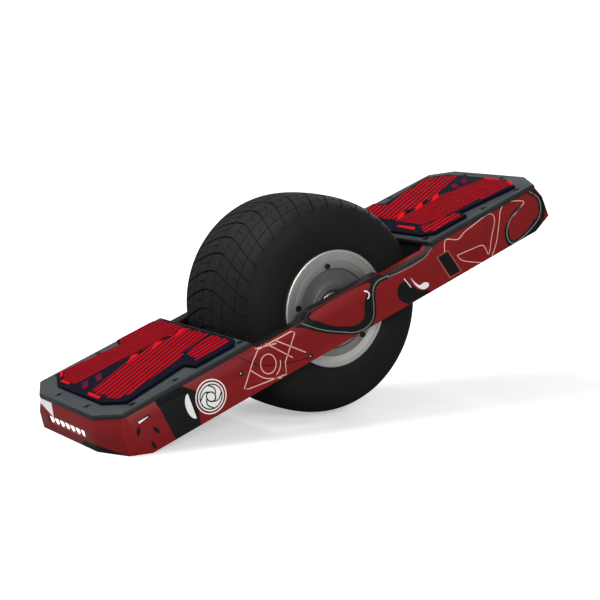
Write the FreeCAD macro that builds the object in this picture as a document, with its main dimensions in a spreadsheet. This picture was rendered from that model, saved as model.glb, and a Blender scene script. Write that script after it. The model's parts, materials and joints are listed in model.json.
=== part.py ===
"""One-wheeled self-balancing electric board: a parametric assembly, in millimetres.

Two frames are used. The board frame has its origin at the axle's centre, X along the
deck towards the nose, Y across it and Z square to the deck. The wheel frame has the same
origin but stays level. Both are placed so that the tyre and the tail skid touch Z = 0.
"""
import FreeCAD, Part
import math
import os
import Sketcher

V = FreeCAD.Vector

DIMENSIONS = {
    "tilt": 21.2,  # degrees, nose up, with the tail skid flat on the ground
    "tyre_radius": 143.5,
    "tyre_half": 85.0,
    "crown_half": 60.0,
    "crown_drop": 4.0,
    "tread_thick": 10.0,
    "lip_radius": 76.0,
    "lip_half": 84.0,
    "seat_radius": 71.5,
    "drop_radius": 66.0,
    "barrel_radius": 62.0,
    "cover_face": 81.0,
    "cover_step": 52.3,
    "bolt_circle": 57.0,
    "cover_bolts": 5,
    "bearing_outer": 23.5,
    "bearing_inner": 12.5,
    "bearing_start": 66.0,
    "bearing_width": 12.0,
    "ball_circle": 18.25,
    "ball_radius": 2.3,
    "balls": 11,
    "axle_radius": 15.5,
    "axle_bore": 6.0,
    "axle_flat": 10.0,
    "stator_radius": 51.8,
    "stator_half": 25.0,
    "teeth": 24,
    "slot_root": 34.0,
    "slot_top": 48.5,
    "magnets": 28,
    "magnet_face": 53.4,
    "magnet_thick": 3.2,
    "magnet_width": 11.0,
    "rotor_half": 27.0,
    "rotor_inner": 57.0,
    "valve_circle": 67.3,
    "rail_in": 97.5,
    "rail_out": 114.5,
    "rail_step": 110.0,
    "rail_end": 328.0,
    "rail_depth": 28.0,
    "rail_low": 17.5,
    "rail_hump": 24.0,
    "rail_web": 6.0,
    "hump_half": 58.0,
    "hump_foot": 66.0,
    "plate_foot": 140.0,
    "guard_out": 117.5,
    "guard_end": 331.0,
    "guard_depth": 31.0,
    "guard_skin": 3.0,
    "facet_z": 11.0,
    "facet_in": 4.5,
    "plate_in": 147.0,
    "plate_end": 356.0,
    "plate_half": 116.0,
    "plate_z": 25.0,
    "plate_thick": 6.0,
    "corner_x": 20.0,
    "corner_y": 40.0,
    "pad_thick": 4.5,
    "bumper_flare": 12.0,
    "bumper_lip": 7.0,
    "bumper_wall": 5.0,
    "lamp_z": 5.0,
    "lamp_pitch": 15.0,
    "lamps": 7,
    "box_in": 150.0,
    "box_end": 329.0,
    "box_half": 97.3,
    "box_depth": 27.0,
    "box_top": 21.5,
    "box_wall": 6.0,
    "box_floor": 2.5,
    "gasket_thick": 0.8,
    "lid_thick": 2.5,
    "cell_radius": 10.4,
    "cell_length": 70.0,
    "cell_pitch": 21.6,
    "cells_long": 7,
    "circuit_thick": 1.6,
    "port_x": 196.0,
    "port_z": -4.0,
    "port_half": 14.0,
    "port_bore": 5.5,
    "hinge_z": 7.3,
    "hinge_y": 115.3,
    "flap_thick": 4.0,
    "pin_radius": 0.9,
    "button_x": 262.0,
    "button_z": -2.0,
    "button_radius": 7.0,
    "cable_radius": 4.0,
    "cable_y": 102.5,
    "cable_bend": 10.0,
    "gland_x": 165.0,
    "block_half": 42.0,
    "block_in": 87.0,
}

SIDES = {"left": 1, "right": -1}
ENDS = {"nose": 1, "tail": -1}

doc = FreeCAD.newDocument("board")
sheet = doc.addObject("Spreadsheet::Sheet", "dims")
for row, (alias, size) in enumerate(DIMENSIONS.items(), start=1):
    sheet.set(f"A{row}", alias)
    sheet.set(f"B{row}", str(size))
    sheet.setAlias(f"B{row}", alias)
doc.recompute()


def value(expression):
    """The number that an expression over the sheet gives."""
    result = sheet.evalExpression(str(expression))
    return float(getattr(result, "Value", result))


# The skid meets the underside where a plane at the tilt angle, lying on the ground, cuts it.
SKID_X = "(dims.tyre_radius - dims.guard_depth * cos(dims.tilt)) / sin(dims.tilt)"
SKID_SLOPE = "tan(dims.tilt)"
PLATE_TOP = "dims.plate_z + dims.plate_thick"
THROUGH = "3 * dims.plate_end"

BOARD = FreeCAD.Placement(
    V(0, 0, value("dims.tyre_radius")),
    FreeCAD.Rotation(V(0, 1, 0), -value("dims.tilt")),
)
WHEEL = FreeCAD.Placement(V(0, 0, value("dims.tyre_radius")), FreeCAD.Rotation())
PIECES = []


# ---------------------------------------------------------------- building helpers


def piece(name, frame):
    """A PartDesign body for one sub-part, placed in its frame."""
    body = doc.addObject("PartDesign::Body", name)
    body.Label = name
    body.Placement = frame
    PIECES.append(body)
    return body


def sketch_on(body, role, offset="0"):
    """A sketch on one of the body's own origin planes, moved along the plane's normal."""
    plane = [item for item in body.Origin.OriginFeatures if item.Role == role][0]
    sketch = body.newObject("Sketcher::SketchObject", body.Name + "_sketch")
    sketch.AttachmentSupport = [(plane, "")]
    sketch.MapMode = "FlatFace"
    sketch.setExpression("AttachmentOffset.Base.z", str(offset))
    return sketch


def pin_point(sketch, geometry, position, x, y):
    """Holds one sketch point at distances that follow the sheet."""
    for kind, expression in (("DistanceX", x), ("DistanceY", y)):
        rule = Sketcher.Constraint(kind, -1, 1, geometry, position, value(expression))
        number = sketch.addConstraint(rule)
        sketch.setExpression(f"Constraints[{number}]", str(expression))


def outline(sketch, points):
    """A closed outline of straight edges through pairs of expressions."""
    start = sketch.GeometryCount
    count = len(points)
    corners = [V(value(x), value(y), 0) for x, y in points]
    for i in range(count):
        edge = Part.LineSegment(corners[i], corners[(i + 1) % count])
        sketch.addGeometry(edge, False)
    for i, (x, y) in enumerate(points):
        before = start + (i - 1) % count
        sketch.addConstraint(Sketcher.Constraint("Coincident", before, 2, start + i, 1))
        pin_point(sketch, start + i, 1, x, y)


def rectangle(sketch, x0, y0, x1, y1):
    outline(sketch, [(x0, y0), (x1, y0), (x1, y1), (x0, y1)])


def circle(sketch, x, y, radius):
    number = sketch.GeometryCount
    centre = V(value(x), value(y), 0)
    sketch.addGeometry(Part.Circle(centre, V(0, 0, 1), value(radius)), False)
    rule = sketch.addConstraint(Sketcher.Constraint("Radius", number, value(radius)))
    sketch.setExpression(f"Constraints[{rule}]", str(radius))
    pin_point(sketch, number, 3, x, y)


def slot(sketch, x, y, half_length, radius):
    """An upright slot with round ends, centred on a point."""
    start = sketch.GeometryCount
    cx, cy, long, wide = (value(item) for item in (x, y, half_length, radius))
    high = V(cx, cy + long, 0)
    low = V(cx, cy - long, 0)
    sketch.addGeometry(Part.ArcOfCircle(Part.Circle(high, V(0, 0, 1), wide), 0, math.pi))
    sketch.addGeometry(Part.LineSegment(high + V(-wide, 0, 0), low + V(-wide, 0, 0)))
    sketch.addGeometry(Part.ArcOfCircle(Part.Circle(low, V(0, 0, 1), wide), math.pi, 0))
    sketch.addGeometry(Part.LineSegment(low + V(wide, 0, 0), high + V(wide, 0, 0)))
    for i in range(4):
        tangent = Sketcher.Constraint("Tangent", start + i, 2, start + (i + 1) % 4, 1)
        sketch.addConstraint(tangent)
    pin_point(sketch, start, 3, x, f"({y}) + ({half_length})")
    pin_point(sketch, start + 2, 3, x, f"({y}) - ({half_length})")
    rule = sketch.addConstraint(Sketcher.Constraint("Radius", start, wide))
    sketch.setExpression(f"Constraints[{rule}]", str(radius))


def feature(body, kind, sketch, length, reverse=False, both=False):
    """A pad or pocket of a sketch, with a length that follows the sheet."""
    item = body.newObject("PartDesign::" + kind, body.Name + "_" + kind.lower())
    item.Profile = sketch
    item.Reversed = reverse
    if both:
        item.SideType = "Symmetric"
    item.setExpression("Length", str(length))
    return item


def pad(body, sketch, length, reverse=False, both=False):
    return feature(body, "Pad", sketch, length, reverse, both)


def pocket(body, sketch, length, reverse=False, both=False):
    return feature(body, "Pocket", sketch, length, reverse, both)


def turn(body, sketch, angle=360):
    """Turns a sketch of (y, radius) outlines about the axle line."""
    spin = body.newObject("PartDesign::Revolution", body.Name + "_turn")
    spin.Profile = sketch
    spin.ReferenceAxis = (sketch, ["H_Axis"])
    spin.Angle = angle


def turned(name, frame, profile, angle=360):
    """A body turned about the axle line from one profile of (y, radius) pairs."""
    body = piece(name, frame)
    sketch = sketch_on(body, "YZ_Plane")
    outline(sketch, profile)
    turn(body, sketch, angle)
    return body


def dress(body, kind, size, wanted):
    """A fillet or chamfer on the edges of the body's last shape that a test picks."""
    doc.recompute()
    base = body.Tip
    names = [f"Edge{i}" for i, edge in enumerate(base.Shape.Edges, 1) if wanted(edge)]
    item = body.newObject("PartDesign::" + kind, body.Name + "_" + kind.lower())
    item.Base = (base, names)
    item.setExpression("Radius" if kind == "Fillet" else "Size", str(size))
    return item


def group(name, frame, solids):
    """Identical pieces that share one node, as separate solids."""
    item = doc.addObject("Part::Feature", name)
    item.Label = name
    item.Shape = Part.makeCompound(solids)
    item.Placement = frame
    PIECES.append(item)
    return item


def screw(place, axis, head_radius, head, shank_radius, shank):
    """A socket screw: place is the top of its head and axis points into the work."""
    top = Part.makeCylinder(head_radius, head, place, axis)
    stem = Part.makeCylinder(shank_radius, shank, place + axis * head, axis)
    key = Part.makeCylinder(head_radius * 0.45, head * 0.6, place, axis)
    return top.fuse(stem).cut(key)


def mirrored(half):
    """A closed outline from its right half, read from the top centre to the bottom."""
    return half + [(f"-({x})", y) for x, y in reversed(half)]


def towards(end, x):
    """An X expression at the nose, or at the tail when end is -1."""
    return x if end > 0 else f"-({x})"


def skid_z(x, above):
    """The height of a line parallel to the skid, above it by the given amount."""
    return f"-dims.guard_depth + ({above}) + (({x}) - ({SKID_X})) * {SKID_SLOPE}"


# ---------------------------------------------------------------- rails and guards


def deck_line(low, hump, high, end, depth, above):
    """The side view of a rail or guard, from the top centre down to the bottom centre."""
    return [
        ("dims.hump_half", hump),
        ("dims.hump_foot", low),
        ("dims.plate_foot", low),
        ("dims.plate_in - 1", high),
        (end, high),
        (end, skid_z(end, above)),
        (SKID_X, f"-({depth})"),
    ]


def side_sketch(body, side, y):
    """A side-view sketch at a distance from the centre plane, on the given side."""
    return sketch_on(body, "XZ_Plane", f"{-side} * ({y})")


def side_holes(body, side, places, radius, from_y, depth):
    """Round holes sunk from the outside of a rail or guard towards the centre."""
    sketch = side_sketch(body, side, from_y)
    for x, z in places:
        circle(sketch, x, z, radius)
    pocket(body, sketch, depth, reverse=side > 0)


BLOCK_BOLTS = [(x, -15) for x in (-36, -14, 14, 36)]
BOX_BOLTS = [(x, -4) for x in (-320, -232, 232, 320)]
GUARD_SCREWS = [(-174, 1.5), (-76, -24.5), (92, -20), (318, -18)]
RAIL_WINDOWS = [(154, 226, 19), (238, 312, 19)]


def rail(side_name, side):
    body = piece(side_name + "_rail", BOARD)
    profile = side_sketch(body, side, "dims.rail_in")
    line = deck_line(
        "dims.rail_low", "dims.rail_hump", "dims.plate_z", "dims.rail_end",
        "dims.rail_depth", "dims.guard_skin",
    )
    outline(profile, mirrored(line))
    pad(body, profile, "dims.rail_out - dims.rail_in", reverse=side > 0)

    step = sketch_on(body, "YZ_Plane")
    rectangle(
        step, f"{side} * dims.rail_step", "dims.facet_z",
        f"{side} * (dims.rail_out + 1)", "dims.plate_z + 1",
    )
    pocket(body, step, THROUGH, both=True)

    windows = side_sketch(body, side, "dims.rail_in")
    for start, stop, top in RAIL_WINDOWS:
        for end in ENDS.values():
            rectangle(windows, end * start, -22, end * stop, top)
    deep = "dims.rail_out - dims.rail_in - dims.rail_web"
    pocket(body, windows, deep, reverse=side < 0)

    side_holes(body, side, BLOCK_BOLTS, 4.2, "dims.guard_out", "dims.guard_out")
    side_holes(body, side, BLOCK_BOLTS, 7, "dims.rail_out", 8.5)
    side_holes(body, side, BOX_BOLTS, 2.7, "dims.guard_out", "dims.guard_out")
    side_holes(body, side, BOX_BOLTS, 4.6, "dims.rail_out", 3)
    side_holes(body, side, GUARD_SCREWS, 1.6, "dims.guard_out", 12)
    if side_name == "left":
        cut_cable_channel(body, side)
        cut_port_and_button(body, side)


def cut_cable_channel(body, side):
    """The channel that leads the motor cable from the axle's end to the controller box."""
    channel = side_sketch(body, side, "dims.rail_in")
    rectangle(channel, -12, -5.5, "dims.gland_x", 5.5)
    pocket(body, channel, "dims.cable_y + dims.cable_radius + 1 - dims.rail_in")


def cut_port_and_button(body, side):
    """The charge port's seat and bore, and the power button's bore, through the web."""
    seat = side_sketch(body, side, "dims.rail_out")
    rectangle(
        seat, "dims.port_x - dims.port_half", "dims.hinge_z - 22",
        "dims.port_x + dims.port_half", "dims.hinge_z + 2.7",
    )
    pocket(body, seat, "dims.rail_out - dims.hinge_y + dims.flap_thick / 2 + 0.4",
           reverse=True)
    side_holes(body, side, [("dims.port_x", "dims.port_z")], 9.1, "dims.rail_out", 14)
    side_holes(body, side, [("dims.button_x", "dims.button_z")], 10.6, "dims.rail_out", 14)


def rail_guard(side_name, side):
    """The moulded shell over a rail: side skin, sloping facet, top lip and bottom lip."""
    body = piece(side_name + "_rail_guard", BOARD)
    profile = side_sketch(body, side, "dims.rail_in")
    skin = "dims.guard_skin"
    line = deck_line(
        f"dims.rail_low + {skin}", f"dims.rail_hump + {skin}", "dims.plate_z",
        "dims.guard_end", "dims.guard_depth", "0",
    )
    outline(profile, mirrored(line))
    pad(body, profile, "dims.guard_out - dims.rail_in", reverse=side > 0)

    facet = sketch_on(body, "YZ_Plane")
    lean = "dims.facet_in / (dims.plate_z - dims.facet_z)"
    outline(facet, [
        (f"{side} * dims.guard_out", "dims.facet_z"),
        (f"{side} * (dims.guard_out + 1)", "dims.facet_z"),
        (f"{side} * (dims.guard_out + 1)", "dims.plate_z + 10"),
        (f"{side} * (dims.guard_out - 10 * {lean} - dims.facet_in)", "dims.plate_z + 10"),
    ])
    pocket(body, facet, THROUGH, both=True)

    below = side_sketch(body, side, "dims.rail_in")
    beyond = "dims.guard_end + 1"
    outline(below, mirrored([
        (beyond, "dims.facet_z"),
        (beyond, skid_z(beyond, skin)),
        (SKID_X, "-dims.rail_depth"),
    ]))
    pocket(body, below, "dims.rail_out - dims.rail_in", reverse=side < 0)

    above = side_sketch(body, side, "dims.rail_in")
    line = deck_line(
        "dims.rail_low", "dims.rail_hump", "dims.plate_z + 1", beyond, "0", "0",
    )[:5]
    outline(above, mirrored(line + [(beyond, "dims.facet_z - 1")]))
    pocket(body, above, "dims.rail_step - dims.rail_in", reverse=side < 0)

    side_holes(body, side, GUARD_SCREWS, 1.6, "dims.guard_out", 12)
    side_holes(body, side, GUARD_SCREWS, 3.4, "dims.guard_out", 1.3)
    if side_name == "left":
        window = side_sketch(body, side, "dims.guard_out")
        rectangle(
            window, "dims.port_x - dims.port_half", "dims.hinge_z - 22",
            "dims.port_x + dims.port_half", "dims.hinge_z + 2.7",
        )
        circle(window, "dims.button_x", "dims.button_z", 10.6)
        pocket(body, window, "dims.guard_out - dims.rail_out + 1", reverse=True)


# ---------------------------------------------------------------- foot plates and pads


PLATE_SCREWS = [
    ("dims.plate_end - 12", 40), ("dims.plate_end - 42", 105),
    (252, 104), ("dims.plate_in + 6", 99),
]


def plate_screw_places(end):
    return [(towards(end, x), side * y) for x, y in PLATE_SCREWS for side in (1, -1)]


def end_corners(end, inner, outer, half, corner_x="dims.corner_x",
                corner_y="dims.corner_y"):
    """A deck-end outline in plan, with its two outer corners cut off."""
    right = [
        (inner, f"-({half})"),
        (f"({outer}) - {corner_x}", f"-({half})"),
        (outer, f"-({half}) + {corner_y}"),
    ]
    points = right + [(x, f"-({y})") for x, y in reversed(right)]
    return [(towards(end, f"({x})"), y) for x, y in points]


def footpad_base(end_name, end):
    """The stiff moulded plate that a foot pad is stuck to."""
    body = piece(end_name + "_footpad_base", BOARD)
    plan = sketch_on(body, "XY_Plane", "dims.plate_z")
    outline(plan, end_corners(end, "dims.plate_in", "dims.plate_end", "dims.plate_half"))
    pad(body, plan, "dims.plate_thick")
    top = value(PLATE_TOP)
    dress(body, "Chamfer", 1.6, lambda edge: edge.BoundBox.ZMin > top - 0.01)
    doc.recompute()
    holes = sketch_on(body, "XY_Plane", PLATE_TOP)
    for x, y in plate_screw_places(end):
        circle(holes, x, y, 2.2)
    pocket(body, holes, "dims.plate_thick + 1")
    sinks = sketch_on(body, "XY_Plane", PLATE_TOP)
    for x, y in plate_screw_places(end):
        circle(sinks, x, y, 4.6)
    pocket(body, sinks, 2.4)
    bores = sketch_on(body, "XY_Plane", "dims.plate_z")
    for side in (1, -1):
        circle(bores, towards(end, "dims.plate_end - 18"), side * 100, 2.2)
    pocket(body, bores, 4, reverse=True)


PAD_EDGE = [
    ("dims.plate_end - 22", 62), ("dims.plate_end - 38", 98), (226, 83), (222, 105),
    (165, 105), ("dims.plate_in + 7", 90),
]


def pad_outline(end):
    """The grip pad's edge in plan."""
    near = [(towards(end, x), y) for x, y in PAD_EDGE]
    return near + [(x, -y) for x, y in reversed(near)]


def grip_pad(end_name, end):
    body = piece(end_name + "_grip_pad", BOARD)
    plan = sketch_on(body, "XY_Plane", PLATE_TOP)
    outline(plan, pad_outline(end))
    pad(body, plan, "dims.pad_thick")
    if end_name == "nose":
        recess = sketch_on(body, "XY_Plane", PLATE_TOP)
        sensor_area(recess, 0.5)
        pocket(body, recess, 0.9, reverse=True)


def sensor_area(sketch, margin):
    """The pressure film's rectangle under the nose pad, grown by a margin."""
    rectangle(sketch, f"dims.plate_in + 18 - {margin}", -76 - margin,
              f"dims.plate_end - 46 + {margin}", 76 + margin)


def foot_sensor():
    """The two-zone pressure film under the nose pad."""
    body = piece("foot_sensor", BOARD)
    plan = sketch_on(body, "XY_Plane", PLATE_TOP)
    sensor_area(plan, 0)
    pad(body, plan, 0.8)


# ---------------------------------------------------------------- bumpers and lamps


def bumper(end_name, end):
    """The end cap: flared outer face, skid slope below, lamp groove and hollow inside."""
    body = piece(end_name + "_bumper", BOARD)
    low = sketch_on(body, "XY_Plane", "-dims.guard_depth")
    flare = "dims.plate_end + dims.bumper_flare"
    outline(low, end_corners(end, "dims.guard_end", flare, "dims.guard_out", "22"))
    lip = sketch_on(body, "XY_Plane", "dims.lamp_z + 4.5")
    outline(lip, end_corners(end, "dims.guard_end", "dims.plate_end + dims.bumper_lip",
                             "dims.plate_half + 1.3"))
    high = sketch_on(body, "XY_Plane", "dims.plate_z")
    outline(high, end_corners(end, "dims.guard_end", "dims.plate_end",
                              "dims.plate_half"))
    loft = body.newObject("PartDesign::AdditiveLoft", body.Name + "_loft")
    loft.Profile = low
    loft.Sections = [lip, high]
    loft.Ruled = True

    slope = sketch_on(body, "XZ_Plane")
    far = f"{flare} + 5"
    near = "dims.guard_end - 20"
    outline(slope, [
        (towards(end, near), skid_z(near, 0)),
        (towards(end, far), skid_z(far, 0)),
        (towards(end, far), "-dims.guard_depth - 10"),
        (towards(end, near), "-dims.guard_depth - 10"),
    ])
    pocket(body, slope, THROUGH, both=True)
    groove_for_lamps(body, end)

    hollow = sketch_on(body, "XZ_Plane")
    wall = "dims.plate_end - dims.bumper_wall"
    start = "dims.guard_end - 1"
    outline(hollow, [
        (towards(end, start), "dims.plate_z + 1"),
        (towards(end, wall), "dims.plate_z + 1"),
        (towards(end, wall), skid_z(wall, 5)),
        (towards(end, start), skid_z(start, 5)),
    ])
    pocket(body, hollow, "2 * (dims.plate_half - dims.corner_y)", both=True)

    screws = sketch_on(body, "XY_Plane", "-dims.guard_depth")
    heads = sketch_on(body, "XY_Plane", "-dims.guard_depth")
    for side in (1, -1):
        circle(screws, towards(end, "dims.plate_end - 18"), side * 100, 2.2)
        circle(heads, towards(end, "dims.plate_end - 18"), side * 100, 5)
    pocket(body, screws, "2 * dims.guard_depth", reverse=True)
    pocket(body, heads, 17, reverse=True)


def groove_for_lamps(body, end):
    """A shallow groove behind the row of lamps, with an oval window for each."""
    groove = sketch_on(body, "XY_Plane", "dims.lamp_z - 4.5")
    half = "dims.lamps * dims.lamp_pitch / 2"
    rectangle(groove, towards(end, "dims.plate_end + dims.bumper_lip - 1.8"), f"-{half}",
              towards(end, "dims.plate_end + 20"), half)
    pocket(body, groove, 9, reverse=True)
    windows = sketch_on(body, "YZ_Plane", towards(end, "dims.plate_end + 20"))
    for y in lamp_places():
        slot(windows, y, "dims.lamp_z", 1.2, 3.6)
    pocket(body, windows, "50", reverse=end < 0)


def lamp_places():
    """The lamps' places across the end face."""
    count = int(value("dims.lamps"))
    return [f"{i - (count - 1) / 2} * dims.lamp_pitch" for i in range(count)]


def light_lenses(end_name, end):
    body = piece(end_name + "_light_lenses", BOARD)
    start = "dims.plate_end - dims.bumper_wall + 0.2"
    ovals = sketch_on(body, "YZ_Plane", towards(end, start))
    for y in lamp_places():
        slot(ovals, y, "dims.lamp_z", 1.2, 3.5)
    pad(body, ovals, "dims.bumper_wall + dims.bumper_lip - 0.8", reverse=end < 0)


def light_board(end_name, end):
    """The strip circuit board behind the lenses, with one emitter to each."""
    body = piece(end_name + "_light_board", BOARD)
    back = "dims.plate_end - dims.bumper_wall - 3"
    strip = sketch_on(body, "YZ_Plane", towards(end, back))
    rectangle(strip, -56, "dims.lamp_z - 7", 56, "dims.lamp_z + 7")
    pad(body, strip, "dims.circuit_thick", reverse=end < 0)
    emitters = sketch_on(body, "YZ_Plane", towards(end, f"{back} + dims.circuit_thick"))
    for y in lamp_places():
        rectangle(emitters, f"{y} - 2.5", "dims.lamp_z - 2.5",
                  f"{y} + 2.5", "dims.lamp_z + 2.5")
    pad(body, emitters, 1.2, reverse=end < 0)


# ---------------------------------------------------------------- battery and controller


def box_line(inner, outer, top, floor, rise):
    """The side view of a box between the rails, clear of the skid slope."""
    bend = f"{SKID_X} - 5"
    return [
        (inner, top), (outer, top),
        (outer, f"{floor} + (({outer}) - ({bend})) * {SKID_SLOPE}"),
        (f"{bend} - ({rise})", floor), (inner, floor),
    ]


def box(name, end):
    """An open-topped tray between the rails."""
    body = piece(name, BOARD)
    side_view = sketch_on(body, "XZ_Plane")
    points = box_line("dims.box_in", "dims.box_end", "dims.box_top",
                      "-dims.box_depth", "0")
    outline(side_view, [(towards(end, x), z) for x, z in points])
    pad(body, side_view, "2 * dims.box_half", both=True)
    inside = sketch_on(body, "XZ_Plane")
    points = box_line("dims.box_in + 4", "dims.box_end - 4", "dims.box_top + 1",
                      "-dims.box_depth + dims.box_floor", "2")
    outline(inside, [(towards(end, x), z) for x, z in points])
    pocket(body, inside, "2 * (dims.box_half - dims.box_wall)", both=True)
    bolts = sketch_on(body, "XZ_Plane")
    for x, z in BOX_BOLTS:
        if x * end > 0:
            circle(bolts, x, z, 2.7)
    pocket(body, bolts, THROUGH, both=True)
    holes = sketch_on(body, "XY_Plane", "dims.box_top")
    for x, y in lid_screw_places(end):
        circle(holes, x, y, 1.5)
    pocket(body, holes, 9)
    return body


def lid_screw_places(end):
    """The lid's screws, along both long walls of a box."""
    first = "dims.box_in + 12"
    run = "(dims.box_end - dims.box_in - 24)"
    return [
        (towards(end, f"{first} + {i} * {run} / 3"), f"{side} * (dims.box_half - 3)")
        for i in range(4) for side in (1, -1)
    ]


def box_lid(name, end):
    body = piece(name, BOARD)
    bottom = "dims.box_top + dims.gasket_thick"
    plan = sketch_on(body, "XY_Plane", bottom)
    rectangle(plan, towards(end, "dims.box_in"), "-dims.box_half",
              towards(end, "dims.box_end"), "dims.box_half")
    pad(body, plan, "dims.lid_thick")
    holes = sketch_on(body, "XY_Plane", f"{bottom} + dims.lid_thick")
    sinks = sketch_on(body, "XY_Plane", f"{bottom} + dims.lid_thick")
    for x, y in lid_screw_places(end):
        circle(holes, x, y, 1.5)
        circle(sinks, x, y, 2.7)
    pocket(body, holes, "dims.lid_thick + 1")
    pocket(body, sinks, 1.5)


def box_gaskets():
    """The two flat seals between the boxes and their lids."""
    body = piece("box_gaskets", BOARD)
    plan = sketch_on(body, "XY_Plane", "dims.box_top")
    for end in ENDS.values():
        rectangle(plan, towards(end, "dims.box_in + 0.5"), "-dims.box_half + 0.5",
                  towards(end, "dims.box_end - 0.5"), "dims.box_half - 0.5")
        rectangle(plan, towards(end, "dims.box_in + 4"), "-dims.box_half + 5.5",
                  towards(end, "dims.box_end - 4"), "dims.box_half - 5.5")
        for x, y in lid_screw_places(end):
            circle(plan, x, y, 1.6)
    pad(body, plan, "dims.gasket_thick")


CELL_LAYERS = ["-dims.box_depth + dims.box_floor + dims.cell_radius + 0.3",
               "-dims.box_depth + dims.box_floor + 3 * dims.cell_radius + 0.9"]


def cell_places():
    """The cells' centres in side view."""
    count = int(value("dims.cells_long"))
    return [
        (f"-(dims.box_in + 15 + {i} * dims.cell_pitch)", z)
        for i in range(count) for z in CELL_LAYERS
    ]


def battery_cells():
    """Cylindrical cells lying across the board in two rows."""
    radius = value("dims.cell_radius")
    length = value("dims.cell_length")
    solids = []
    for x, z in cell_places():
        for start in (2, -2 - length):
            base = V(value(x), start, value(z))
            can = Part.makeCylinder(radius, length - 1, base, V(0, 1, 0))
            cap = Part.makeCylinder(radius / 3, 1, base + V(0, length - 1, 0), V(0, 1, 0))
            solids.append(can.fuse(cap))
    group("battery_cells", BOARD, solids)


def cell_holders():
    """Two moulded plates that the cells pass through."""
    body = piece("cell_holders", BOARD)
    plates = sketch_on(body, "XY_Plane", "-dims.box_depth + dims.box_floor + 0.1")
    for side in (1, -1):
        rectangle(plates, "-(dims.box_in + 4.1)", side * 33,
                  "-(dims.box_in + 5.1 + dims.cells_long * dims.cell_pitch)", side * 41)
    pad(body, plates, "dims.box_depth + dims.box_top - dims.box_floor - 1")
    holes = sketch_on(body, "XZ_Plane")
    for x, z in cell_places():
        circle(holes, x, z, "dims.cell_radius + 0.1")
    pocket(body, holes, THROUGH, both=True)


def circuit_board(name, role, offset, corners, parts, tall):
    """A flat board with square-cut components standing on one face."""
    body = piece(name, BOARD)
    laminate = sketch_on(body, role, offset)
    rectangle(laminate, *corners)
    pad(body, laminate, "dims.circuit_thick")
    rows = sketch_on(body, role, f"{offset} + dims.circuit_thick")
    for x, y, wide, high in parts:
        rectangle(rows, x, y, x + wide, y + high)
    pad(body, rows, tall)


def motor_controller_parts():
    """Power transistors in two rows and a processor between them."""
    transistors = [(180 + 18 * i, y, 10, 15) for i in range(6) for y in (-70, -48)]
    return transistors + [(200, -12, 14, 14), (232, -14, 22, 10), (262, -10, 18, 12)]


def capacitors():
    """The controller's storage capacitors, standing on its board."""
    base_z = value("-dims.box_depth + dims.box_floor + 6.2")
    solids = []
    for i in range(5):
        base = V(190 + 24 * i, 48, base_z)
        can = Part.makeCylinder(9, 26, base, V(0, 0, 1))
        rims = [edge for edge in can.Edges if edge.BoundBox.ZMin > base_z + 25.9]
        solids.append(can.makeFillet(1.2, rims))
    group("capacitors", BOARD, solids)


# ---------------------------------------------------------------- axle and motor


def axle_block(side_name, side):
    """The block that clamps an axle end to its rail."""
    body = piece(side_name + "_axle_block", BOARD)
    face = side_sketch(body, side, "dims.block_in")
    outline(face, mirrored([
        ("dims.block_half - 8", 18), ("dims.block_half", 10),
        ("dims.block_half", -16), ("dims.block_half - 8", -24),
    ]))
    pad(body, face, "dims.rail_in - dims.block_in", reverse=side > 0)
    hole = side_sketch(body, side, "dims.block_in - 1")
    rectangle(hole, "-dims.bearing_inner - 0.05", "-dims.axle_flat - 0.05",
              "dims.bearing_inner + 0.05", "dims.axle_flat + 0.05")
    pocket(body, hole, "dims.rail_in", reverse=side < 0)
    side_holes(body, side, BLOCK_BOLTS, 4, "dims.rail_in", 9)
    inside = value("dims.block_in")
    dress(body, "Chamfer", 1.2, lambda edge: edge.Length > 11 and all(
        abs(abs(point.Point.y) - inside) < 0.01 for point in edge.Vertexes))


def axle():
    """The hollow fixed axle, flattened at both ends where the blocks hold it."""
    half = [("dims.rail_in - 0.2", "dims.bearing_inner"),
            ("dims.bearing_start - 2", "dims.bearing_inner"),
            ("dims.bearing_start - 2", "dims.axle_radius")]
    profile = half + [(f"-({y})", r) for y, r in reversed(half)]
    profile += [("-dims.rail_in + 0.2", "0"), ("15", "0"), ("15", "dims.axle_bore"),
                ("dims.rail_in - 0.2", "dims.axle_bore")]
    body = turned("axle", BOARD, profile)
    flats = sketch_on(body, "YZ_Plane")
    for side in (1, -1):
        for up in (1, -1):
            rectangle(flats, f"{side} * (dims.block_in - 0.5)", f"{up} * dims.axle_flat",
                      f"{side} * dims.guard_out", f"{up} * dims.axle_radius")
    pocket(body, flats, "3 * dims.axle_radius", both=True)
    wire_hole = sketch_on(body, "XY_Plane")
    circle(wire_hole, 0, "dims.stator_half + 12", 4.5)
    pocket(body, wire_hole, "2 * dims.axle_radius", reverse=True)


def stator_core():
    """The laminated core, with slots cut between its teeth."""
    body = piece("stator_core", BOARD)
    face = sketch_on(body, "XZ_Plane")
    circle(face, 0, 0, "dims.stator_radius")
    circle(face, 0, 0, "dims.axle_radius")
    pad(body, face, "2 * dims.stator_half", both=True)
    gap = sketch_on(body, "XZ_Plane")
    outline(gap, mirrored([
        (0.9, "dims.stator_radius + 1"), (0.9, "dims.slot_top + 0.9"),
        (3.2, "dims.slot_top"), (2.0, "dims.slot_root"),
    ]))
    cut = pocket(body, gap, THROUGH, both=True)
    body.Tip = cut
    doc.recompute()
    ring = body.newObject("PartDesign::PolarPattern", "stator_slots")
    ring.Originals = [cut]
    ring.Axis = (gap, ["N_Axis"])
    ring.Angle = 360
    ring.setExpression("Occurrences", "dims.teeth")
    body.Tip = ring


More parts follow.
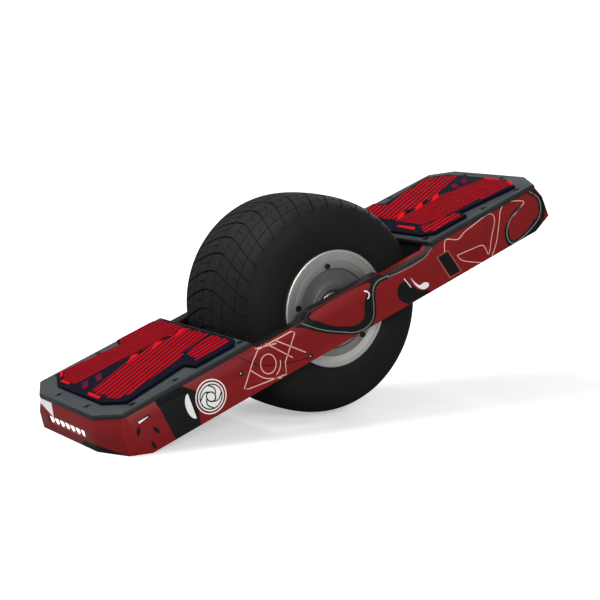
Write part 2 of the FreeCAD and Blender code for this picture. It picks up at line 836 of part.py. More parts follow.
def stator_windings():
    """One copper coil round each stator tooth."""
    count = int(value("dims.teeth"))
    half = value("dims.stator_half")
    low = value("dims.slot_root") + 1.2
    tall = value("dims.slot_top - dims.slot_root") - 2.4
    outer = Part.makeBox(8.6, 2 * half + 7, tall, V(-4.3, -half - 3.5, low))
    inner = Part.makeBox(6.4, 2 * half + 0.4, tall, V(-3.2, -half - 0.2, low))
    coil = outer.cut(inner)
    upright = [edge for edge in coil.Edges if abs(abs(edge.BoundBox.YMin) - half - 3.5) < 0.01
               and edge.BoundBox.ZLength > tall - 0.01]
    coil = coil.makeFillet(1.8, upright)
    solids = []
    for i in range(count):
        turn = FreeCAD.Rotation(V(0, 1, 0), 360 * (i + 0.5) / count)
        solids.append(coil.transformed(FreeCAD.Placement(V(), turn).toMatrix()))
    group("stator_windings", BOARD, solids)


def hall_sensor_board():
    """The arc-shaped board that senses the rotor, beside the coils."""
    turned("hall_sensor_board", BOARD, [
        ("-dims.stator_half - 4", 28), ("-dims.stator_half - 5.6", 28),
        ("-dims.stator_half - 5.6", 47), ("-dims.stator_half - 4", 47),
    ], angle=80)


def bearing_rings(name, frame, inner, outer):
    """The inner or outer rings of the two wheel bearings, one solid each side."""
    body = piece(name, frame)
    sketch = sketch_on(body, "YZ_Plane")
    for side in (1, -1):
        rectangle(sketch, f"{side} * dims.bearing_start", inner,
                  f"{side} * (dims.bearing_start + dims.bearing_width)", outer)
    turn(body, sketch)


def bearing_balls():
    count = int(value("dims.balls"))
    radius = value("dims.ball_radius")
    centre_y = value("dims.bearing_start + dims.bearing_width / 2")
    circle_radius = value("dims.ball_circle")
    solids = []
    for side in (1, -1):
        for i in range(count):
            angle = 2 * math.pi * i / count
            centre = V(circle_radius * math.sin(angle), side * centre_y,
                       circle_radius * math.cos(angle))
            solids.append(Part.makeSphere(radius, centre))
    group("bearing_balls", WHEEL, solids)


# ---------------------------------------------------------------- wheel


def tyre():
    """The wide low-pressure tyre, hollow, with rounded shoulders."""
    crown_edge = "dims.tyre_radius - dims.crown_drop"
    wall = "dims.tyre_half"
    crown = [
        (f"dims.crown_half * {part}", f"dims.tyre_radius - dims.crown_drop * {part ** 2}")
        for part in (0.25, 0.5, 0.75)
    ]
    half = [(0, "dims.tyre_radius")] + crown + [
        ("dims.crown_half", crown_edge),
        (wall, "dims.tyre_radius - 34"),
        (wall, "dims.lip_radius + 14"),
        ("dims.lip_half - 3", "dims.lip_radius + 0.5"),
        ("dims.lip_half - 4.6", "dims.lip_radius + 0.5"),
        ("dims.lip_half - 4.6", "dims.seat_radius + 0.1"),
        ("dims.lip_half - 20", "dims.seat_radius + 0.1"),
        ("dims.lip_half - 22", "dims.seat_radius + 6"),
        (f"{wall} - 8", "dims.lip_radius + 22"),
        (f"{wall} - 9", "dims.tyre_radius - 30"),
        ("dims.crown_half - 6", f"{crown_edge} - dims.tread_thick + 1"),
        (0, "dims.tyre_radius - dims.tread_thick"),
    ]
    other = [(f"-({y})", r) for y, r in reversed(half[1:-1])]
    body = turned("tyre", WHEEL, half + other)
    shoulder = value(crown_edge)
    sidewall = value("dims.tyre_radius - 34")
    for radius, size in ((shoulder, 24), (sidewall, 30)):
        dress(body, "Fillet", size, lambda edge, radius=radius: (
            edge.Curve.TypeId == "Part::GeomCircle"
            and abs(edge.Curve.Radius - radius) < 0.01))


def rim():
    """The cast rim: lips, bead seats, drop centre and the covers' inner flanges."""
    face = "dims.cover_face"
    half = [
        ("dims.lip_half - 34", "dims.drop_radius"),
        ("dims.lip_half - 28", "dims.seat_radius - 0.5"),
        ("dims.lip_half - 4.5", "dims.seat_radius"),
        ("dims.lip_half - 4", "dims.lip_radius"),
        ("dims.lip_half - 0.6", "dims.lip_radius"),
        ("dims.lip_half", "dims.lip_radius - 1.4"),
        ("dims.lip_half - 0.4", "dims.seat_radius"),
        ("dims.lip_half - 1.4", "dims.seat_radius - 0.3"),
        ("dims.lip_half - 1.4", "dims.seat_radius - 1"),
        (face, "dims.barrel_radius"),
        (f"{face} - 5.8", "dims.barrel_radius"),
        (f"{face} - 5.8", "dims.bolt_circle - 3.2"),
        (f"{face} - 12", "dims.bolt_circle - 3.2"),
        (f"{face} - 15", "dims.barrel_radius"),
    ]
    other = [(f"-({y})", r) for y, r in reversed(half)]
    body = turned("rim", WHEEL, half + other)
    bolts = sketch_on(body, "XZ_Plane")
    for x, z in cover_bolt_places():
        circle(bolts, x, z, 2.1)
    pocket(body, bolts, THROUGH, both=True)
    valve = sketch_on(body, "XZ_Plane", "-dims.lip_half - 1")
    circle(valve, 0, "-dims.valve_circle", 3.1)
    pocket(body, valve, 40, reverse=True)


def cover_bolt_places():
    """The cover bolts' places round the axle, as expressions."""
    count = int(value("dims.cover_bolts"))
    turns = [(i - 0.18) * 360 / count for i in range(count)]
    return [(f"dims.bolt_circle * sin({turn})", f"dims.bolt_circle * cos({turn})")
            for turn in turns]


def motor_cover(side_name, side):
    """A motor side cover: bolted rim face, step, shallow dish and bearing boss."""
    face = "dims.cover_face"
    start = "dims.bearing_start"
    profile = [
        (start, "dims.bearing_outer"), (start, "dims.bearing_outer + 4.5"),
        (f"{start} + 2", "dims.bearing_outer + 7"), (f"{start} + 1.5", "dims.cover_step - 3"),
        (f"{face} - 5.5", "dims.cover_step + 0.5"),
        (f"{face} - 5.5", "dims.barrel_radius - 0.2"),
        (face, "dims.barrel_radius - 0.2"), (face, "dims.cover_step"),
        (f"{face} - 2.2", "dims.cover_step - 1.6"), (f"{face} - 4.5", "dims.cover_step - 12"),
        (f"{face} - 3.5", "dims.bearing_outer + 7.5"),
        (f"{face} + 1", "dims.bearing_outer + 5"), (f"{face} + 1", "dims.bearing_outer"),
    ]
    body = turned(side_name + "_motor_cover", WHEEL,
                  [(f"{side} * ({y})", r) for y, r in profile])
    bolts = sketch_on(body, "XZ_Plane")
    for x, z in cover_bolt_places():
        circle(bolts, x, z, 2.1)
    pocket(body, bolts, THROUGH, both=True)


def rotor_ring():
    turned("rotor_ring", WHEEL, [
        ("dims.rotor_half", "dims.rotor_inner"),
        ("dims.rotor_half", "dims.barrel_radius"),
        ("-dims.rotor_half", "dims.barrel_radius"),
        ("-dims.rotor_half", "dims.rotor_inner"),
    ])


def rotor_magnets():
    """Flat magnets fixed round the inside of the rotor ring."""
    count = int(value("dims.magnets"))
    wide = value("dims.magnet_width")
    bar = Part.makeBox(wide, 50, value("dims.magnet_thick"),
                       V(-wide / 2, -25, value("dims.magnet_face")))
    solids = []
    for i in range(count):
        turn = FreeCAD.Rotation(V(0, 1, 0), 360 * i / count)
        solids.append(bar.transformed(FreeCAD.Placement(V(), turn).toMatrix()))
    group("rotor_magnets", WHEEL, solids)


def shaft_seals():
    """The rubber seals outside the bearings, clear of the axle."""
    body = piece("shaft_seals", WHEEL)
    sketch = sketch_on(body, "YZ_Plane")
    start = "dims.bearing_start + dims.bearing_width"
    for side in (1, -1):
        rectangle(sketch, f"{side} * ({start} + 0.1)", "dims.bearing_inner + 0.5",
                  f"{side} * ({start} + 1.8)", "dims.bearing_outer")
    turn(body, sketch)


def valve():
    """The tyre valve through the rim's lip on the left, and its cap."""
    stem = piece("valve_stem", WHEEL)
    face = sketch_on(stem, "XZ_Plane", "-(dims.lip_half - 26)")
    circle(face, 0, "-dims.valve_circle", 3.0)
    pad(stem, face, 32, reverse=True)
    bore = sketch_on(stem, "XZ_Plane", "-(dims.lip_half - 26)")
    circle(bore, 0, "-dims.valve_circle", 1.2)
    pocket(stem, bore, 40)
    cap = piece("valve_cap", WHEEL)
    face = sketch_on(cap, "XZ_Plane", "-(dims.lip_half + 1.5)")
    circle(face, 0, "-dims.valve_circle", 4.3)
    pad(cap, face, 7.5, reverse=True)
    hollow = sketch_on(cap, "XZ_Plane", "-(dims.lip_half + 1.5)")
    circle(hollow, 0, "-dims.valve_circle", 3.05)
    pocket(cap, hollow, 5)


# ---------------------------------------------------------------- cable, port and button


def motor_cable():
    """The held cable: out of the axle's left end, along the rail, into the box."""
    y = value("dims.cable_y")
    bend = value("dims.cable_bend")
    far = value("dims.gland_x")
    half = bend * (1 - math.sqrt(0.5))
    start = V(0, value("dims.stator_half + 6"), 0)
    stop = V(far, value("dims.box_half - dims.box_wall - 8"), 0)
    points = [V(0, y - bend, 0), V(half, y - half, 0), V(bend, y, 0),
              V(far - bend, y, 0), V(far - half, y - half, 0), V(far, y - bend, 0)]
    path = Part.Wire([
        Part.LineSegment(start, points[0]).toShape(),
        Part.Arc(*points[:3]).toShape(),
        Part.LineSegment(points[2], points[3]).toShape(),
        Part.Arc(*points[3:]).toShape(),
        Part.LineSegment(points[5], stop).toShape(),
    ])
    radius = value("dims.cable_radius")
    ring = Part.Wire(Part.makeCircle(radius, start, V(0, 1, 0)))
    tube = path.makePipeShell([ring], True, True)
    print("motor cable: volume over section times length",
          round(tube.Volume / (math.pi * radius ** 2 * path.Length), 4))
    group("motor_cable", BOARD, [tube])


def cable_gland():
    """The gland in the controller box's wall that the motor cable passes through."""
    body = piece("cable_gland", BOARD)
    inner = "dims.box_half - dims.box_wall"
    neck = sketch_on(body, "XZ_Plane", f"-({inner} - 4)")
    circle(neck, "dims.gland_x", 0, 6.4)
    pad(body, neck, f"dims.cable_y - dims.cable_bend - ({inner} - 4)", reverse=True)
    flange = sketch_on(body, "XZ_Plane", f"-({inner} - 4)")
    circle(flange, "dims.gland_x", 0, 9)
    pad(body, flange, 4, reverse=True)
    bore = sketch_on(body, "XZ_Plane")
    circle(bore, "dims.gland_x", 0, "dims.cable_radius + 0.05")
    pocket(body, bore, THROUGH, both=True)


def charge_socket():
    """The socket that the charger's plug enters, fixed through the rail's web."""
    body = piece("charge_socket", BOARD)
    outer = "dims.hinge_y - dims.flap_thick / 2 - 0.4"
    back = "dims.rail_in + 1"
    shell = sketch_on(body, "XZ_Plane", f"-({back})")
    circle(shell, "dims.port_x", "dims.port_z", 9)
    pad(body, shell, f"{outer} - ({back})", reverse=True)
    nut = sketch_on(body, "XZ_Plane", "-(dims.rail_out - dims.rail_web - 2.5)")
    circle(nut, "dims.port_x", "dims.port_z", 11.5)
    pad(body, nut, 2.4, reverse=True)
    bore = sketch_on(body, "XZ_Plane", f"-({outer})")
    circle(bore, "dims.port_x", "dims.port_z", "dims.port_bore")
    pocket(body, bore, 12, reverse=True)


def charge_port_cover():
    """The flap over the charge port, with a knuckle that turns on the hinge pin."""
    body = piece("charge_port_cover", BOARD)
    half = "dims.port_half - 0.5"
    thick = "dims.flap_thick / 2"
    plate = sketch_on(body, "YZ_Plane", "dims.port_x")
    rectangle(plate, f"dims.hinge_y - {thick}", "dims.hinge_z",
              f"dims.hinge_y + {thick}", "dims.hinge_z - 21.3")
    pad(body, plate, f"2 * ({half})", both=True)
    knuckle = sketch_on(body, "YZ_Plane", "dims.port_x")
    circle(knuckle, "dims.hinge_y", "dims.hinge_z", thick)
    pad(body, knuckle, f"2 * ({half})", both=True)
    bore = sketch_on(body, "YZ_Plane", "dims.port_x")
    circle(bore, "dims.hinge_y", "dims.hinge_z", "dims.pin_radius + 0.05")
    pocket(body, bore, "4 * dims.port_half", both=True)
    grip = sketch_on(body, "XZ_Plane", f"-(dims.hinge_y + {thick})")
    rectangle(grip, "dims.port_x - 6", "dims.hinge_z - 21.4",
              "dims.port_x + 6", "dims.hinge_z - 19.3")
    pocket(body, grip, 2, reverse=True)


def charge_cover_pin():
    body = piece("charge_cover_pin", BOARD)
    face = sketch_on(body, "YZ_Plane", "dims.port_x")
    circle(face, "dims.hinge_y", "dims.hinge_z", "dims.pin_radius")
    pad(body, face, "2 * dims.port_half", both=True)


def power_button():
    """The pushed cap and its stem."""
    body = piece("power_button", BOARD)
    cap = sketch_on(body, "XZ_Plane", "-(dims.guard_out - 6)")
    circle(cap, "dims.button_x", "dims.button_z", "dims.button_radius")
    pad(body, cap, 5.6, reverse=True)
    stem = sketch_on(body, "XZ_Plane", "-(dims.guard_out - 6)")
    circle(stem, "dims.button_x", "dims.button_z", 2.5)
    pad(body, stem, 3.2)
    rim_y = value("dims.guard_out - 0.4")
    dress(body, "Fillet", 0.8, lambda edge: abs(edge.BoundBox.YMin - rim_y) < 0.01
          and abs(edge.BoundBox.YMax - rim_y) < 0.01)


def power_button_bezel():
    body = piece("power_button_bezel", BOARD)
    ring = sketch_on(body, "XZ_Plane", "-(dims.guard_out - 9)")
    circle(ring, "dims.button_x", "dims.button_z", 10.5)
    circle(ring, "dims.button_x", "dims.button_z", "dims.button_radius + 0.4")
    pad(body, ring, 8.9, reverse=True)
    nut = sketch_on(body, "XZ_Plane", "-(dims.rail_out - dims.rail_web - 2.5)")
    circle(nut, "dims.button_x", "dims.button_z", 12.5)
    circle(nut, "dims.button_x", "dims.button_z", "dims.button_radius + 0.4")
    pad(body, nut, 2.5, reverse=True)


def power_switch():
    """The switch block that the button's stem presses."""
    body = piece("power_switch", BOARD)
    block = sketch_on(body, "XZ_Plane", "-(dims.rail_in + 1)")
    rectangle(block, "dims.button_x - 8", "dims.button_z - 8",
              "dims.button_x + 8", "dims.button_z + 8")
    pad(body, block, 7.5, reverse=True)


# ---------------------------------------------------------------- fasteners


def fasteners():
    """Screws and bolts, each kind as one node."""
    down = V(0, 0, -1)
    plate_top = value(PLATE_TOP)
    lid_top = value("dims.box_top + dims.gasket_thick + dims.lid_thick")
    plates, lids, bumpers = [], [], []
    for end in ENDS.values():
        for x, y in plate_screw_places(end):
            place = V(value(x), y, plate_top - 0.4)
            plates.append(screw(place, down, 4.4, 2, 2.0, 3.5))
        for x, y in lid_screw_places(end):
            place = V(value(x), value(y), lid_top - 0.1)
            lids.append(screw(place, down, 2.6, 1.3, 1.4, 8))
        for side in (1, -1):
            place = V(end * (value("dims.plate_end") - 18), side * 100, -18)
            bumpers.append(screw(place, V(0, 0, 1), 4.6, 4, 2.1, 42.5))
    group("footpad_screws", BOARD, plates)
    group("lid_screws", BOARD, lids)
    group("bumper_screws", BOARD, bumpers)

    blocks, boxes, guards = [], [], []
    for side in SIDES.values():
        inward = V(0, -side, 0)
        for x, z in BLOCK_BOLTS:
            place = V(x, side * (value("dims.rail_out") - 0.5), z)
            blocks.append(screw(place, inward, 6.5, 8, 3.9, 17))
        for x, z in BOX_BOLTS:
            place = V(x, side * (value("dims.rail_out") - 0.1), z)
            boxes.append(screw(place, inward, 4.4, 2.9, 2.6, 19))
        for x, z in GUARD_SCREWS:
            place = V(x, side * (value("dims.guard_out") - 0.2), z)
            guards.append(screw(place, inward, 3.2, 1, 1.5, 7))
    group("axle_block_bolts", BOARD, blocks)
    group("box_mount_screws", BOARD, boxes)
    group("guard_screws", BOARD, guards)

    covers = []
    for side in SIDES.values():
        for x, z in cover_bolt_places():
            place = V(value(x), side * (value("dims.cover_face") + 2.4), value(z))
            covers.append(screw(place, V(0, -side, 0), 3.6, 2.4, 2.0, 10))
    group("motor_cover_bolts", WHEEL, covers)


# ---------------------------------------------------------------- the whole board


def build_board():
    for side_name, side in SIDES.items():
        rail(side_name, side)
        rail_guard(side_name, side)
        axle_block(side_name, side)
        motor_cover(side_name, side)
    for end_name, end in ENDS.items():
        footpad_base(end_name, end)
        grip_pad(end_name, end)
        bumper(end_name, end)
        light_lenses(end_name, end)
        light_board(end_name, end)
    foot_sensor()

    box("battery_box", -1)
    box_lid("battery_lid", -1)
    battery_cells()
    cell_holders()
    circuit_board("battery_management_board", "XZ_Plane", "-80",
                  (-300, -20, -160, 16),
                  [(-290 + 26 * i, -12, 12, 16) for i in range(5)], 3)
    controller_box = box("controller_box", 1)
    gland_hole = sketch_on(controller_box, "XZ_Plane", "-dims.guard_out")
    circle(gland_hole, "dims.gland_x", 0, 6.5)
    pocket(controller_box, gland_hole, 32, reverse=True)
    box_lid("controller_lid", 1)
    box_gaskets()
    circuit_board("motor_controller_board", "XY_Plane",
                  "-dims.box_depth + dims.box_floor + 4",
                  (172, -84, 300, 70), motor_controller_parts(), 5)
    capacitors()
    circuit_board("balance_sensor_board", "XY_Plane", 12,
                  (290, -20, 316, 20), [(300, -5, 8, 8)], 1.5)

    axle()
    stator_core()
    stator_windings()
    hall_sensor_board()
    bearing_rings("bearing_inner_rings", BOARD, "dims.bearing_inner", "15.8")
    bearing_rings("bearing_outer_rings", WHEEL, "20.8", "dims.bearing_outer")
    bearing_balls()
    shaft_seals()
    tyre()
    rim()
    rotor_ring()
    rotor_magnets()
    valve()

    motor_cable()
    cable_gland()
    charge_socket()
    charge_cover_pin()
    charge_port_cover()
    power_button_bezel()
    power_button()
    power_switch()
    fasteners()


def check_and_write():
    """Stops on any failed object or bad shape, then writes one file for each sub-part."""
    doc.recompute()
    for item in doc.Objects:
        if "Invalid" in item.State or "Error" in item.State:
            raise RuntimeError(f"{item.Name} ({item.Label}) failed: {item.State}")
    for item in PIECES:
        if item.Shape.isNull() or not item.Shape.isValid():
            raise RuntimeError(f"{item.Label} has a bad shape")
        if not item.Shape.Solids:
            raise RuntimeError(f"{item.Label} has no solid")
    os.makedirs("parts", exist_ok=True)
    for item in PIECES:
        item.Shape.exportStep(f"parts/{item.Label}.step")
    print(len(PIECES), "nodes,", sum(len(item.Shape.Solids) for item in PIECES), "solids")


build_board()
check_and_write()
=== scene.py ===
"""The looks of a one-wheeled self-balancing board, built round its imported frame.

Tables and outlines below are in millimetres in the board's own frame: its origin is the
axle's centre, X runs along the deck to the nose, Y across it to the left and Z square to
it. BOARD and WHEEL carry such points to the row's frame, in metres.
"""

import json
import math

import bmesh
import bpy
from mathutils import Matrix, Vector
from mathutils.geometry import tessellate_polygon


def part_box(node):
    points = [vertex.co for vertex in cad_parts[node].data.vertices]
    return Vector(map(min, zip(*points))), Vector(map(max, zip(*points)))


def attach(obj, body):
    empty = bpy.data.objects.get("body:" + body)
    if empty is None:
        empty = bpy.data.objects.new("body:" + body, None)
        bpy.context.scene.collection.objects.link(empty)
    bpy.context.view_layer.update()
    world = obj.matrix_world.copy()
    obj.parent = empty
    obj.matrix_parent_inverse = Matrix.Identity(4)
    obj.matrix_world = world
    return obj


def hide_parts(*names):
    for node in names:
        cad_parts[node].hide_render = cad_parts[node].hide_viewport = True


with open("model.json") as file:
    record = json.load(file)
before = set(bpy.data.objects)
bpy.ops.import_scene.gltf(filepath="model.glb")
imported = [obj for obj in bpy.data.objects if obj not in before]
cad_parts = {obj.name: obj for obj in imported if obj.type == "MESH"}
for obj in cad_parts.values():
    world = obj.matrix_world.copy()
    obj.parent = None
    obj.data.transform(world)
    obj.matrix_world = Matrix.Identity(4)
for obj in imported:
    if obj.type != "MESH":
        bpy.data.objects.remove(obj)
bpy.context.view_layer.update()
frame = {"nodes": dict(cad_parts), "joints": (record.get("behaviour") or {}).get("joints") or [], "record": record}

MM = 0.001
NODES = frame["nodes"]
JOINTS = {joint["name"]: joint for joint in frame["joints"]}
MOUNTS = {mount["name"]: mount for mount in frame["record"]["mounts"]}

AXLE = Vector(JOINTS["wheel_spin"]["pos_m"])
DECK_UP = Vector(MOUNTS["nose_foot_rest"]["axis"])
TILT = math.atan2(-DECK_UP.x, DECK_UP.z)
WHEEL = Matrix.Translation(AXLE) @ Matrix.Scale(MM, 4)
BOARD = Matrix.Translation(AXLE) @ Matrix.Rotation(-TILT, 4, "Y") @ Matrix.Scale(MM, 4)


def board_box(node):
    """A node's lowest and highest corners in the board's own frame, in millimetres."""
    back = BOARD.inverted()
    points = [back @ vertex.co for vertex in NODES[node].data.vertices]
    low = Vector([min(point[i] for point in points) for i in range(3)])
    high = Vector([max(point[i] for point in points) for i in range(3)])
    return low, high


# ---------------------------------------------------------------- materials


ROUGH_SPREAD = 0.14
COAT_ROUGHNESS = 0.25


def new_material(name):
    """A new material, its nodes and its main shader."""
    material = bpy.data.materials.new(name)
    material.use_nodes = True
    return material, material.node_tree, material.node_tree.nodes["Principled BSDF"]


def noise(tree, place, scale, detail=4.0, roughness=0.6):
    """A number between 0 and 1 that wanders from place to place."""
    node = tree.nodes.new("ShaderNodeTexNoise")
    node.inputs["Scale"].default_value = scale
    node.inputs["Detail"].default_value = detail
    node.inputs["Roughness"].default_value = roughness
    tree.links.new(place, node.inputs["Vector"])
    return node.outputs["Fac"]


def spread(tree, factor, low, high, start=0.3, stop=0.7):
    """A number between low and high as the factor goes from start to stop."""
    node = tree.nodes.new("ShaderNodeMapRange")
    for name, number in (("From Min", start), ("From Max", stop),
                         ("To Min", low), ("To Max", high)):
        node.inputs[name].default_value = number
    tree.links.new(factor, node.inputs["Value"])
    return node.outputs["Result"]


def tinted(tree, factor, colour, shift):
    """The colour, darker and lighter by a share of itself as the factor changes."""
    mix = tree.nodes.new("ShaderNodeMix")
    mix.data_type = "RGBA"
    mix.inputs["A"].default_value = [*(c * (1 - shift) for c in colour), 1]
    mix.inputs["B"].default_value = [*(c * (1 + shift) for c in colour), 1]
    tree.links.new(factor, mix.inputs["Factor"])
    return mix.outputs["Result"]


def from_axle(tree, place):
    """The distance from the axle, in metres."""
    shifted = tree.nodes.new("ShaderNodeVectorMath")
    shifted.operation = "MULTIPLY_ADD"
    shifted.inputs[1].default_value = (1, 0, 1)
    shifted.inputs[2].default_value = (-AXLE.x, 0, -AXLE.z)
    tree.links.new(place, shifted.inputs[0])
    length = tree.nodes.new("ShaderNodeVectorMath")
    length.operation = "LENGTH"
    tree.links.new(shifted.outputs["Vector"], length.inputs[0])
    return length.outputs["Value"]


def finish(name, colour, rough, metal=0.0, grain=900.0, bump=0.15, depth=0.00004,
           vary=0.12, cloud=35.0, coat=0.0, specular=0.5, turned=False, painted_dish_shade=None):
    """A moulded, painted or machined surface with its own grain and slight wear.

    Turned metal has its grain in rings round the axle. A painted dish shade makes the colour
    darker towards the axle, as painted shade and dark reflection in a cover's centre; it is
    given by the two radii between which it darkens and what share is left.
    """
    material, tree, shader = new_material(name)
    place = tree.nodes.new("ShaderNodeTexCoord").outputs["Object"]
    if turned:
        rings = tree.nodes.new("ShaderNodeCombineXYZ")
        tree.links.new(from_axle(tree, place), rings.inputs["X"])
        fine = noise(tree, rings.outputs["Vector"], grain)
    else:
        fine = noise(tree, place, grain)
    soft = noise(tree, place, cloud, detail=2.0)
    shade = tinted(tree, soft, colour, vary)
    # Painted shade: the colour grows darker towards the axle, standing in for shade and dark reflections.
    if painted_dish_shade:
        inner, outer, left = painted_dish_shade
        share = spread(tree, from_axle(tree, place), left, 1.0, inner * MM, outer * MM)
        dimmed = tree.nodes.new("ShaderNodeVectorMath")
        dimmed.operation = "SCALE"
        tree.links.new(shade, dimmed.inputs[0])
        tree.links.new(share, dimmed.inputs["Scale"])
        shade = dimmed.outputs["Vector"]
    tree.links.new(shade, shader.inputs["Base Color"])
    worn = spread(tree, fine, rough * (1 - ROUGH_SPREAD),
                  min(1.0, rough * (1 + ROUGH_SPREAD)))
    tree.links.new(worn, shader.inputs["Roughness"])
    relief = tree.nodes.new("ShaderNodeBump")
    relief.inputs["Strength"].default_value = bump
    relief.inputs["Distance"].default_value = depth
    tree.links.new(fine, relief.inputs["Height"])
    tree.links.new(relief.outputs["Normal"], shader.inputs["Normal"])
    shader.inputs["Metallic"].default_value = metal
    shader.inputs["Coat Weight"].default_value = coat
    shader.inputs["Coat Roughness"].default_value = COAT_ROUGHNESS
    shader.inputs["Specular IOR Level"].default_value = specular
    return material


def glowing(name, colour, strength, rough=0.3):
    """A surface that gives some light of its own colour."""
    material, _, shader = new_material(name)
    shader.inputs["Base Color"].default_value = [*colour, 1]
    shader.inputs["Roughness"].default_value = rough
    shader.inputs["Emission Color"].default_value = [*colour, 1]
    shader.inputs["Emission Strength"].default_value = strength
    return material


SLOTS = {
    "shell_print": dict(colour=(0.232, 0.0080, 0.0100), rough=0.45, grain=1400, bump=0.2,
                        specular=0.2),
    "rail_metal": dict(colour=(0.03, 0.03, 0.033), rough=0.45, metal=0.6),
    "block_metal": dict(colour=(0.05, 0.05, 0.055), rough=0.4, metal=0.8),
    "plate_plastic": dict(colour=(0.034, 0.042, 0.047), rough=0.5, grain=1100, bump=0.5,
                          depth=0.00008, specular=0.35),
    "grip": dict(colour=(0.0035, 0.0042, 0.0120), rough=0.85, grain=750, bump=1.0,
                 depth=0.0003, vary=0.35, specular=0.07),
    "film": dict(colour=(0.55, 0.35, 0.08), rough=0.3),
    "circuit": dict(colour=(0.02, 0.12, 0.05), rough=0.35, vary=0.3, cloud=300),
    "box_plastic": dict(colour=(0.022, 0.022, 0.024), rough=0.55, bump=0.4),
    "cell_wrap": dict(colour=(0.05, 0.2, 0.4), rough=0.3, coat=0.4),
    "seal_rubber": dict(colour=(0.014, 0.014, 0.015), rough=0.7, specular=0.3),
    "capacitor_can": dict(colour=(0.03, 0.035, 0.06), rough=0.35),
    "steel": dict(colour=(0.55, 0.55, 0.56), rough=0.28, metal=1.0, turned=True),
    "core_iron": dict(colour=(0.2, 0.2, 0.21), rough=0.5, metal=0.9),
    "copper": dict(colour=(0.62, 0.24, 0.09), rough=0.35, metal=0.9, coat=0.5),
    "magnet": dict(colour=(0.6, 0.6, 0.62), rough=0.3, metal=1.0),
    "wheel_metal": dict(colour=(0.60, 0.60, 0.58), rough=0.48, metal=0.85, turned=True,
                        grain=2500, bump=0.3),
    # The cover's colour gets painted shade towards the axle between these radii.
    "cover_metal": dict(colour=(0.33, 0.335, 0.32), rough=0.46, metal=0.75, turned=True,
                        grain=2500, bump=0.35, painted_dish_shade=(20, 50, 0.33)),
    "tyre": dict(colour=(0.0100, 0.0096, 0.0086), rough=0.66, grain=1300, bump=0.5,
                 depth=0.00006, vary=0.25, cloud=20, specular=0.16),
    "valve_rubber": dict(colour=(0.015, 0.015, 0.015), rough=0.6),
    "valve_metal": dict(colour=(0.6, 0.5, 0.25), rough=0.3, metal=1.0),
    "cable": dict(colour=(0.015, 0.015, 0.015), rough=0.55),
    "socket_plastic": dict(colour=(0.014, 0.014, 0.015), rough=0.45),
    "button": dict(colour=(0.6, 0.62, 0.64), rough=0.25, metal=1.0, grain=2500),
    "bezel": dict(colour=(0.05, 0.05, 0.055), rough=0.35, metal=0.7),
    "screw": dict(colour=(0.03, 0.03, 0.032), rough=0.38, metal=0.8),
}
FINISH = {slot: finish(slot, **facts) for slot, facts in SLOTS.items()}
FINISH["lens"] = glowing("lens", (0.95, 0.97, 1.0), 1.1)

INK_LOOK = dict(rough=0.45, grain=1400, specular=0.16)
GRIT_LOOK = dict(rough=0.85, grain=750, bump=0.8, depth=0.0002, cloud=60, specular=0.05)
INKS = {
    name: finish("ink_" + name, colour, vary=vary, **INK_LOOK)
    for name, colour, vary in (
        ("black", (0.0060, 0.0068, 0.0072), 0.12), ("white", (0.95, 0.95, 0.93), 0.02),
        ("pink", (0.86, 0.50, 0.44), 0.05), ("sage", (0.17, 0.24, 0.21), 0.1),
        ("tan", (0.30, 0.17, 0.12), 0.1), ("slate", (0.020, 0.026, 0.028), 0.1),
    )
}
INKS.update({
    name: finish("grit_" + name, colour, vary=vary, **GRIT_LOOK)
    for name, colour, vary in (
        ("crimson", (0.300, 0.0015, 0.006), 0.3), ("scarlet", (0.37, 0.0015, 0.007), 0.2),
        ("flame", (0.60, 0.003, 0.009), 0.1), ("plum", (0.110, 0.003, 0.030), 0.3),
        ("coal", (0.004, 0.004, 0.005), 0.2),
    )
})
# Painted shade: a darker plate colour for the sides and edges, standing in for the shadow gap under the plate's
# overhang.
PLATE_SIDE_SHADE = finish("plate_side_shade", (0.013, 0.016, 0.018), 0.5, grain=1100, specular=0.35)


def dress_nodes():
    """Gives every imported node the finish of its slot."""
    for node in NODES.values():
        slot = node.data.materials[0].name.split(".")[0]
        node.data.materials[0] = FINISH[slot]


# ---------------------------------------------------------------- mesh helpers


SMOOTH_UNDER = math.radians(38)
FLAT_UNDER = math.radians(1.0)
WELD_WITHIN = 0.002
CUT_WITHIN = 1e-4
FACING_LEAST = 0.5  # cosine of the angle up to which a face counts as facing some way
EDGE_ARCS = 3
RING_STEP = 8  # degrees


def add_piece(name, mesh_data, place, material, body, stands_for=()):
    """An object from a bmesh in millimetres, riding on a body and shaded smooth."""
    mesh = bpy.data.meshes.new(name)
    bmesh.ops.recalc_face_normals(mesh_data, faces=mesh_data.faces)
    mesh_data.to_mesh(mesh)
    mesh_data.free()
    mesh.transform(place)
    mesh.materials.append(material)
    mesh.shade_smooth()
    mesh.set_sharp_from_angle(angle=SMOOTH_UNDER)
    piece = bpy.data.objects.new(name, mesh)
    bpy.context.scene.collection.objects.link(piece)
    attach(piece, body)
    if stands_for:
        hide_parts(*stands_for)
    return piece


